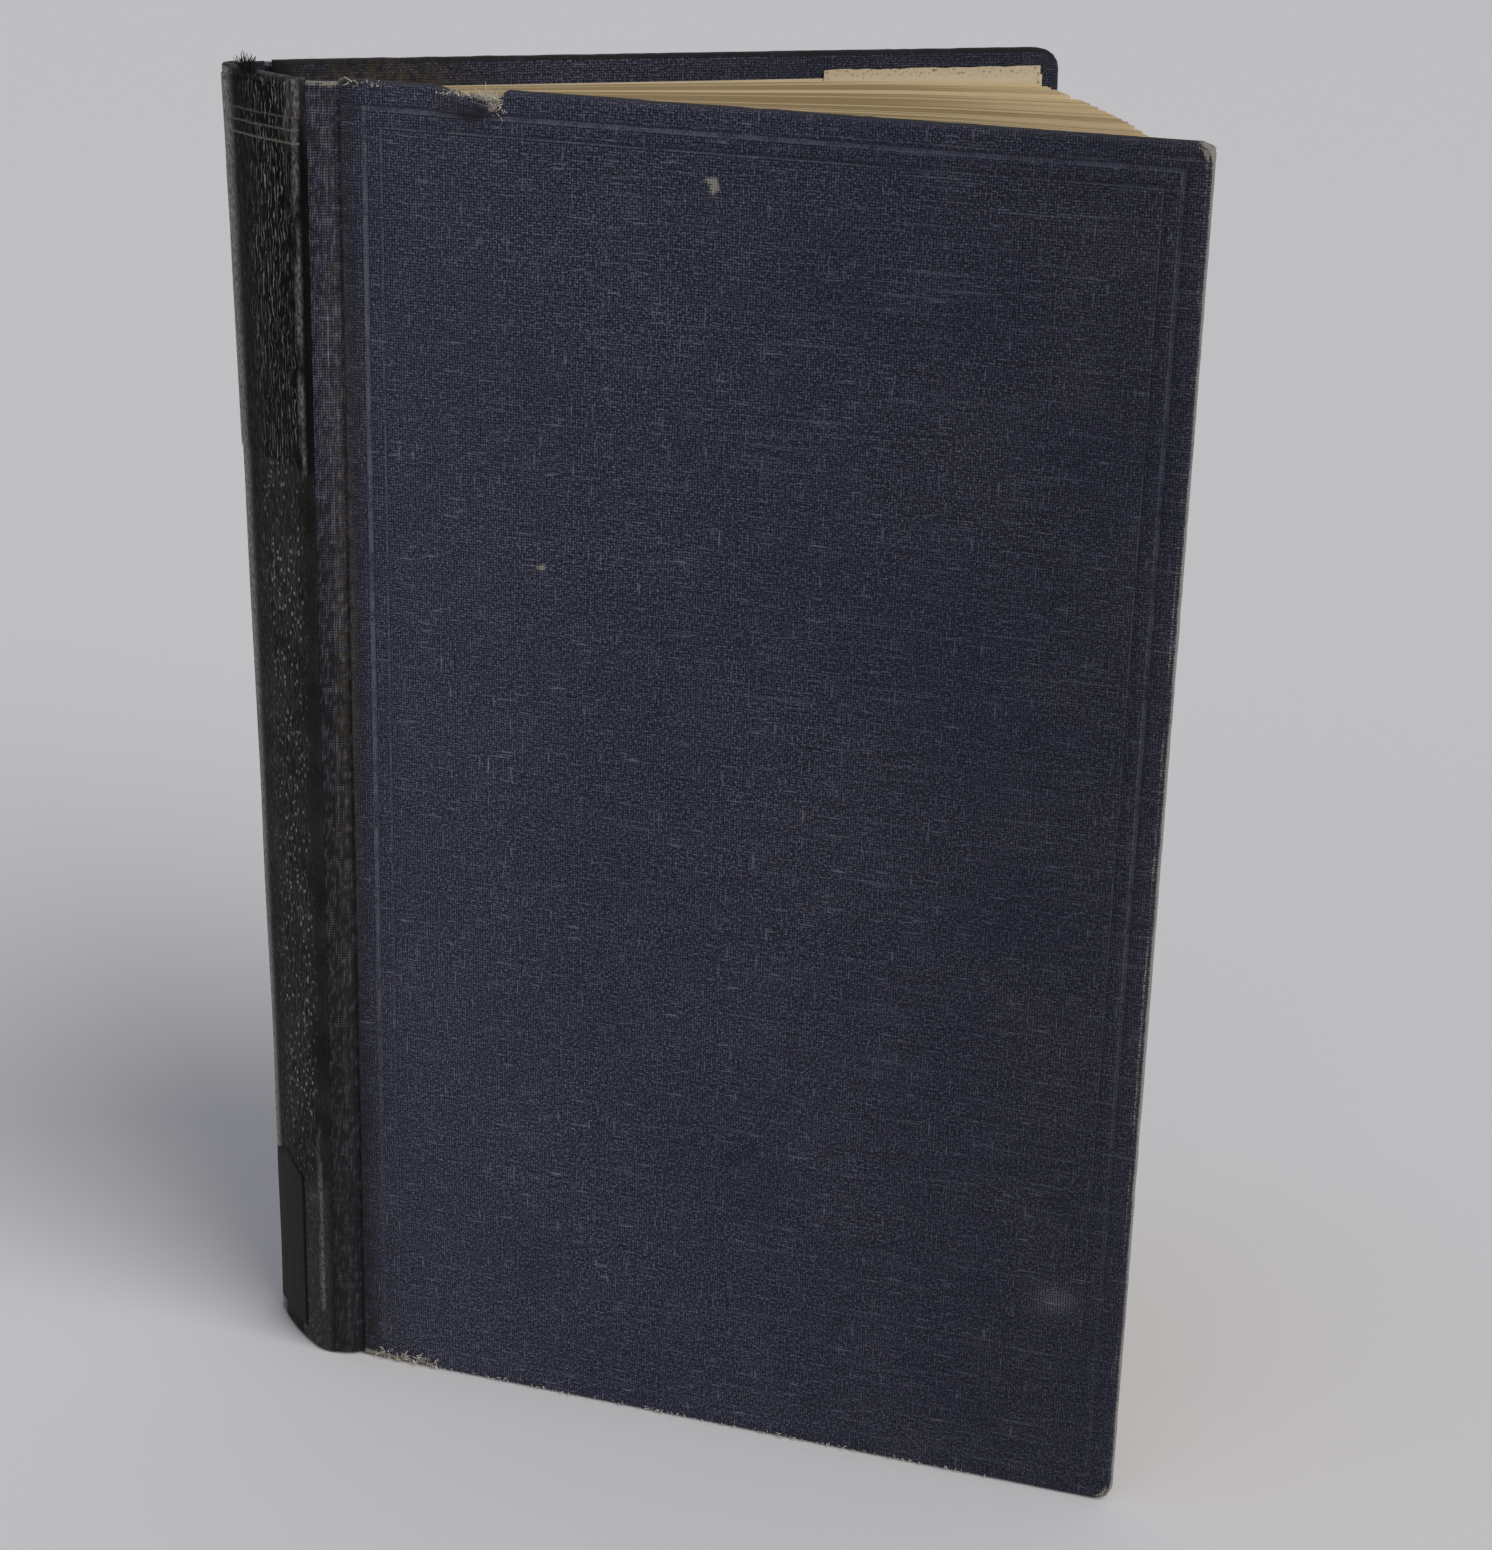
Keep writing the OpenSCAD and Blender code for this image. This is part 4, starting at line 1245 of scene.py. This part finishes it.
@dataclass
class Leaves:
    """The fanned leaves, the backed shoulders and the two flyleaves."""

    count: int = 156
    fill: float = 0.86
    seed: int = 9
    # Leaves that stand proud, painted lighter as painted highlights.
    bright: tuple[int, ...] = (6, 14, 25, 32, 53, 88, 107, 108, 109, 110, 137, 138, 154)
    # Leaves that are followed by air, and the two gaps that are wider than the rest.
    parted: tuple[int, ...] = (5, 13, 24, 31, 43, 52, 66, 74, 87, 117, 130, 142)
    wide_gap: int = 108
    front_gap: int = 24
    # The last leaves from here on are painted pale; the rear bunch before them is painted dark as painted
    # shade.
    pale_from: int = 137
    # Heights of a leaf's rows between its ends.
    levels: tuple[float, ...] = (60.0, 117.0, 175.0)

    def headings(self) -> Array:
        """Heading of each leaf, in bunches with air between them.

        Returns:
            Headings in degrees, the first leaf's being the most negative.
        """
        rng = np.random.default_rng(self.seed)
        gaps = 0.35 + rng.random(self.count - 1) ** 2
        for place in self.parted:
            gaps[place] += 5 + 5 * rng.random()
        gaps[self.wide_gap] += 22
        gaps[self.front_gap] += 6
        run = np.concatenate([[0], np.cumsum(gaps)])
        return -PLAN.fan * (1 - run / run[-1])

    @staticmethod
    def border(s: Array, z: Array) -> Array:
        """Distance of a point of a leaf from its nearest edge, in mm."""
        return np.minimum.reduce([PLAN.leaf_width - s, PLAN.head - z, z - PLAN.tail])

    def leaf(self, sheet: Sheet, t: float, heading: float, shade: float, rng: np.random.Generator) -> None:
        """Adds one leaf as a thin closed sheet.

        Args:
            sheet: The mesh in the making.
            t: Its place in the block, 0 to 1.
            heading: Its heading in degrees.
            shade: How dark it is painted: its paper's tone, painted shade and painted highlights.
            rng: Source of small differences.
        """
        half = self.fill / 2 * (PLAN.leaf_rear - PLAN.leaf_front) / self.count
        along = np.concatenate([[0, 3, 6], np.linspace(9, 51, 8), np.linspace(64, PLAN.leaf_width, 6)])
        along = along - 0.5 * rng.random() * along / PLAN.leaf_width
        zs = np.array([PLAN.tail, PLAN.tail + 0.2, *self.levels, PLAN.head - 0.2, PLAN.head])
        s, z = np.meshgrid(along, zs)
        twist = 0.3 * (rng.random() - 0.5) * (z / PLAN.height - 0.5)
        x, y = PLAN.leaf(t, 0.0, heading + twist, s)
        sag = PLAN.droop(s) + 0.25 * (rng.random() - 0.5) * ramp(s, 20, 130)
        angle = np.radians(heading) * np.clip((s - PLAN.straight) / PLAN.bend, 0, 1)
        # Painted shade darkens each leaf towards the fold, and painted light lightens it towards the
        # fore-edge; the fore-edge strip is painted lighter too.
        tone = shade + 0.36 * (1 - ramp(s, 60, 120)) - 0.62 * ramp(s, 92, 138)
        front, rear = (PLAN.place(x - np.sin(angle) * off, y + np.cos(angle) * off, z - sag)
                       for off in (-half, half))
        sheet.leaf(front, rear, joined(s, z + 300 * t), tone, self.border(s, z),
                   (tone[:2], 1.2), (shade - 0.3, 1.0))

    def build(self, material: Material) -> Thing:
        """Makes the block.

        Args:
            material: Its material.

        Returns:
            The object that replaces the CAD block.
        """
        rng = np.random.default_rng(self.seed + 1)
        sheet = Sheet()
        tone = Noise(12)
        for i, heading in enumerate(self.headings()):
            shade = float(np.clip(0.5 + 0.6 * tone.at(i / 5, 3.0) + 0.3 * (rng.random() - 0.5), 0, 1.1))
            # Painted shade on the rear bunch, paler last leaves, and painted highlights on the bright leaves.
            if i > self.wide_gap:
                shade = 0.78 + 0.3 * (rng.random() - 0.5) if i < self.pale_from else 0.15 + 0.3 * rng.random()
            shade = -0.4 if i in self.bright else shade + 0.14
            self.leaf(sheet, (i + 0.5) / self.count, float(heading), shade, rng)
        self.shoulders(sheet)
        return sheet.build("text_block_dressed", material, Body.ROOT, "leaf_paper", "text_block", False)

    def shoulders(self, sheet: Sheet) -> None:
        """Adds the glued back with its two shoulders.

        Args:
            sheet: The mesh in the making.
        """
        fx, fy = PLAN.fold(np.linspace(0, 1, 13)[1:-1])
        (ax, ay), (bx, by) = PLAN.fold(0.0), PLAN.fold(1.0)
        xs = np.concatenate([[ax + 2.2, ax + 0.7, ax - 0.4], fx, [bx - 0.4, bx + 0.7, bx + 2.2]])
        ys = np.concatenate([[ay + 0.02, ay - 1.3, ay - 1.04], fy, [by + 1.04, by + 1.3, by - 0.02]])
        zs = np.array([PLAN.tail + 0.1, *self.levels, PLAN.head - 0.1])
        flat = np.stack(np.meshgrid(ys, zs), -1)
        sheet.add(PLAN.place(xs[None, :], ys[None, :], zs[:, None]), flat, flip=True, shade=0.7, edge=4.0)
        for z, order in ((zs[0], 1), (zs[-1], -1)):
            inner = PLAN.place(np.clip(xs + 2.6, None, ax + 2.5), np.clip(ys, ay + 0.1, by - 0.1), z)
            outer = PLAN.place(xs, ys, z)
            sheet.add(np.stack([outer, inner][::order]), flat[0], shade=0.6, edge=2.0)

    def flyleaf(self, node: str, t: float, heading: float, material: Material) -> Thing:
        """Makes one flyleaf.

        Args:
            node: The CAD node it replaces.
            t: 0 for the front, 1 for the rear.
            heading: Its heading in degrees.
            material: Its material.

        Returns:
            The object.
        """
        along = np.concatenate([[2.5, 4, 6], np.linspace(9, 51, 10), np.linspace(60, PLAN.leaf_width, 12)])
        zs = np.concatenate([[PLAN.tail], np.linspace(PLAN.tail + 2, PLAN.head - 2, 14), [PLAN.head]])
        s, z = np.meshgrid(along, zs)
        wave = 0.5 * (Noise(61).layered(s / 45, z / 60) - 0.5) * ramp(s, 40, 130) * (1 - t)
        x, y = PLAN.leaf(t, 0.2 * t - 0.1, heading, s)
        angle = math.radians(heading)
        front, rear = (PLAN.place(x - math.sin(angle) * off, y + math.cos(angle) * off, z - PLAN.droop(s))
                       for off in (wave - 0.08, wave + 0.08))
        sheet = Sheet()
        sheet.leaf(front, rear, joined(s, z), 0.1, self.border(s, z), (0.1, 0.6), (0.1, 0.6))
        return sheet.build(node + "_dressed", material, Body.ROOT, "endpaper", node)


@dataclass
class Fray:
    """Loose threads pulled out of the cloth."""

    seed: int
    body: Body
    radius: float = 0.07

    def build(self, name: str, roots: Sequence[tuple], material: Material) -> Thing:
        """Makes a tuft of short bent threads.

        Args:
            name: Name of the object.
            roots: Start, direction, length, spread and number of each tuft, in the body's own frame in mm.
            material: Their material.

        Returns:
            The object.
        """
        rng = np.random.default_rng(self.seed)
        sheet = Sheet()
        steps = np.linspace(0, 1, 6)[:, None]
        turn = np.linspace(0, 2 * math.pi, 5)[:-1]
        for start, direction, length, spread, number in roots:
            for _ in range(number):
                base = np.array(start, float) + (rng.random(3) - 0.5) * np.array(spread)
                heading = np.array(direction, float) + (rng.random(3) - 0.5) * 1.3
                heading = heading / np.linalg.norm(heading)
                curl = (rng.random(3) - 0.5) * 1.8
                reach = length * (0.4 + 0.8 * rng.random())
                path = base + reach * (heading * steps + curl * steps ** 2 * 0.5)
                path[:, 2] = np.maximum(path[:, 2], 0.15)
                across = np.cross(heading, (0.3, 0.5, 0.8))
                across = across / np.linalg.norm(across)
                other = np.cross(heading, across)
                thin = self.radius * (0.6 + 0.8 * rng.random()) * (1 - 0.6 * steps)
                ring = path[:, None, :] + thin[:, None, :] * (
                    np.cos(turn)[None, :, None] * across + np.sin(turn)[None, :, None] * other)
                flat = joined(steps * reach, turn[None, :])
                points = self.body.place(ring[..., 0], ring[..., 1], ring[..., 2])
                sheet.add(points, flat, closed=True, shade=float(rng.random()), edge=20.0)
        return sheet.build(name, material, self.body, "book_cloth")


@dataclass
class Slip:
    """Paper slip pasted on the rear pastedown, standing a little above the leaves."""

    width: float = 41.0
    margin: float = 4.0
    foot: float = 107.0
    top: float = 232.0
    face: float = 3.22

    def build(self, material: Material) -> Thing:
        """Makes the slip.

        Args:
            material: Its material.

        Returns:
            The object that replaces the CAD slip.
        """
        right = PLAN.joint_gap + PLAN.width - self.margin
        x, z = np.meshgrid(np.linspace(right - self.width, right, 44), np.linspace(self.foot, self.top, 80))
        chipped = ramp(z, self.top - 1, self.top) * 0.5 * (Noise(71).layered(x / 2, 0.0) - 0.4)
        cut = z - np.clip(chipped, 0, 1)
        edge = np.minimum.reduce([x - x[0, 0], right - x, self.top - z, z - self.foot])
        flat = joined(x, z)
        front = PLAN.rear(x, self.face + 0.13 + 0.1 * ramp(z, 226, 232), cut)
        sheet = Sheet()
        sheet.add(front, flat, shade=0.1, edge=edge)
        sides = np.stack([outline(front), outline(PLAN.rear(x, self.face, cut))])
        sheet.add(sides, outline(flat), closed=True, shade=0.1, edge=0.2)
        return sheet.build("rear_slip_dressed", material, Body.REAR, "slip_paper", "rear_slip")


@dataclass
class Studio:
    """Pale floor, soft light and the camera."""

    # The fitted view: focal length and height in pixels, then yaw, pitch and roll in degrees.
    focal: float = 3098.046
    view_height: int = 1550
    angles: tuple[float, float, float] = (-17.2988, 20.5707, -1.5493)
    # Where the camera stands in metres: from the front hinge both ways, and above the table.
    stand: tuple[float, float, float] = (0.216264, -0.460596, 0.306770)
    fill_place: Vector = field(default_factory=lambda: Vector((-0.3, -1.3, 0.7)))
    fill_target: Vector = field(default_factory=lambda: Vector((0, 0, 0.12)))

    def link(self, name: str, data: bpy.types.ID) -> Thing:
        """Puts a new object in the scene.

        Args:
            name: Its name.
            data: Its mesh, light or camera.

        Returns:
            The object.
        """
        made = bpy.data.objects.new(name, data)
        bpy.context.scene.collection.objects.link(made)
        return made

    def floor(self) -> None:
        """Makes the floor."""
        mesh = bpy.data.meshes.new("floor")
        mesh.from_pydata([(-4, -4, 0), (4, -4, 0), (4, 8, 0), (-4, 8, 0)], [], [(0, 1, 2, 3)])
        mesh.materials.append(Graph("floor").finish(srgb(212, 210, 211), 0.9, None, 0.1))
        made = self.link("floor", mesh)
        made.location.z = -0.0002

    def light(self) -> None:
        """Sets the sky, the soft window light and a weak fill."""
        world = bpy.data.worlds.new("studio")
        world.use_nodes = True
        sky = world.node_tree.nodes["Background"]
        sky.inputs[0].default_value = (0.80, 0.83, 0.90, 1.0)
        sky.inputs[1].default_value = 0.46
        bpy.context.scene.world = world
        sun = bpy.data.lights.new("window", "SUN")
        sun.energy, sun.angle, sun.color = 2.0, math.radians(46), (1.0, 0.985, 0.96)
        window = self.link("window", sun)
        window.rotation_euler = Vector((0.8, -0.35, 0.78)).to_track_quat("Z", "Y").to_euler()
        panel = bpy.data.lights.new("fill", "AREA")
        panel.energy, panel.size, panel.color = 1.2, 0.9, (0.94, 0.96, 1.0)
        fill = self.link("fill", panel)
        fill.location = self.fill_place
        fill.rotation_euler = (self.fill_target - self.fill_place).to_track_quat("-Z", "Y").to_euler()

    def camera(self) -> None:
        """Makes the camera of the fitted view."""
        yaw, pitch, roll = (math.radians(angle) for angle in self.angles)
        data = bpy.data.cameras.new("camera")
        data.sensor_fit = "AUTO"
        data.sensor_width = 36.0
        data.lens = self.focal * data.sensor_width / self.view_height
        data.clip_start, data.clip_end = 0.01, 50.0
        ahead = Vector((math.sin(yaw) * math.cos(pitch), math.cos(yaw) * math.cos(pitch), -math.sin(pitch)))
        right = Vector((math.cos(yaw), -math.sin(yaw), 0.0))
        down = ahead.cross(right)
        turned = right * math.cos(roll) + down * math.sin(roll)
        lowered = down * math.cos(roll) - right * math.sin(roll)
        x, y, height = self.stand
        stand = Vector((PLAN.hinge.x + x, PLAN.hinge.y + y, height))
        made = self.link("camera", data)
        axes = Matrix((turned, -lowered, -ahead)).transposed().to_4x4()
        made.matrix_world = Matrix.Translation(stand) @ axes
        bpy.context.scene.camera = made
        bpy.context.scene.view_settings.view_transform = "Standard"


def paint_cad(board: tuple[Colour, Colour]) -> None:
    """Gives every CAD node that stays a detailed material.

    Args:
        board: The two colours of the boards.
    """
    paper = srgb(206, 190, 158), srgb(196, 178, 145)
    finishes = {
        "mull": PlainFinish("mull_gauze", srgb(196, 186, 162), srgb(164, 150, 120), 2.0, 0.12),
        "spine_lining": PlainFinish("lining_paper", srgb(150, 126, 92), srgb(122, 98, 66), 0.7),
        "spine_inlay": PlainFinish("inlay_card", srgb(146, 134, 114), srgb(112, 102, 86), 0.9),
        "spine_cloth": PlainFinish("inner_cloth", srgb(46, 46, 60), srgb(30, 30, 42), 1.6, 0.08),
        "rear_board": PlainFinish("cover_board", *board, 0.9),
        "front_pastedown": PlainFinish("endpaper_front", *paper, 0.12, 0.02),
        "rear_pastedown": PlainFinish("endpaper_rear", *paper, 0.12, 0.02),
    }
    for node, finish in finishes.items():
        made = frame["nodes"][node]
        material = finish.build()
        if not made.material_slots:
            made.data.materials.append(material)
        for slot in made.material_slots:
            slot.material = material
        log.info("%s: CAD node with %s", node, finish.name)


def main() -> None:
    """Builds the book piece by piece."""
    logging.basicConfig(level=logging.INFO, format="%(message)s")
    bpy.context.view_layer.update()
    board = srgb(150, 138, 118), srgb(122, 110, 92)
    cloth = ClothFinish().build()
    front = Cover(Body.FRONT, "front_cloth", 21, True, 1.8, 2.6)
    front.build(cloth)
    front.board(PlainFinish("crushed_board", *board, 0.9).build())
    Cover(Body.REAR, "rear_cloth", 22, False, 5.5).build(cloth)
    JointCloth(Body.FRONT, "front_joint_cloth", 51).build(cloth)
    JointCloth(Body.REAR, "rear_joint_cloth", 52).build(cloth)
    covering = SpineCovering()
    covering.build(CoveringFinish("grained_covering", srgb(27, 25, 25), srgb(44, 41, 40)).build())
    labels = SpineLabels(covering)
    labels.title(CoveringFinish("smooth_covering", srgb(6, 6, 6), srgb(12, 11, 11), 0.1, 1.0, 0.34, 0.2,
                                ((228.5, 0.6), (226.5, 0.9), (224.4, 1.2))).build())
    labels.tail(TapeFinish().build())
    leaves = Leaves()
    leaves.build(PaperFinish("leaf_paper").build())
    endpaper = PaperFinish("endpaper").build()
    leaves.flyleaf("front_flyleaf", 0.0, -PLAN.fan - 1.2, endpaper)
    leaves.flyleaf("rear_flyleaf", 1.0, 0.0, endpaper)
    Slip().build(PaperFinish("slip_paper", srgb(218, 208, 182), srgb(190, 174, 140), spots=0.9).build())
    pale = PaperFinish("pale_threads", srgb(216, 210, 194), srgb(176, 168, 150), srgb(150, 142, 126)).build()
    dark = PaperFinish("dark_threads", srgb(34, 32, 32), srgb(20, 19, 20), srgb(16, 15, 15)).build()
    Fray(5, Body.FRONT, 0.09).build("front_threads", (
        ((27.6, 0.4, 233.4), (0.1, -0.3, 0.9), 1.9, (3.0, 0.6, 0.8), 52),
        ((28.8, 0.2, 232.2), (0.2, -0.9, -0.3), 1.2, (1.8, 0.3, 2.4), 26),
        ((22.6, 0.4, 233.8), (0.3, -0.3, 0.5), 0.8, (9.0, 0.6, 0.6), 60),
        ((6.0, 0.4, 234.4), (0.0, -0.4, 0.5), 0.9, (6.4, 0.5, 0.6), 34),
        ((9.5, 0.05, 1.3), (0.6, -0.5, 0.1), 0.9, (13.0, 0.3, 1.9), 90),
        ((62.0, 0.1, 0.4), (0.6, -0.4, 0.0), 0.7, (117.0, 0.3, 0.6), 160),
        ((141.6, 1.2, 233.0), (0.6, -0.3, 0.3), 0.8, (1.4, 1.6, 2.6), 30),
    ), pale)
    Fray(6, Body.ROOT, 0.08).build("spine_threads", (
        ((-11.6, 12.2, 234.9), (-0.1, 0.0, 0.9), 1.8, (1.8, 7.4, 0.8), 240),
    ), dark)
    paint_cad(board)
    studio = Studio()
    studio.floor()
    studio.light()
    studio.camera()


if __name__ == "__main__":
    main()
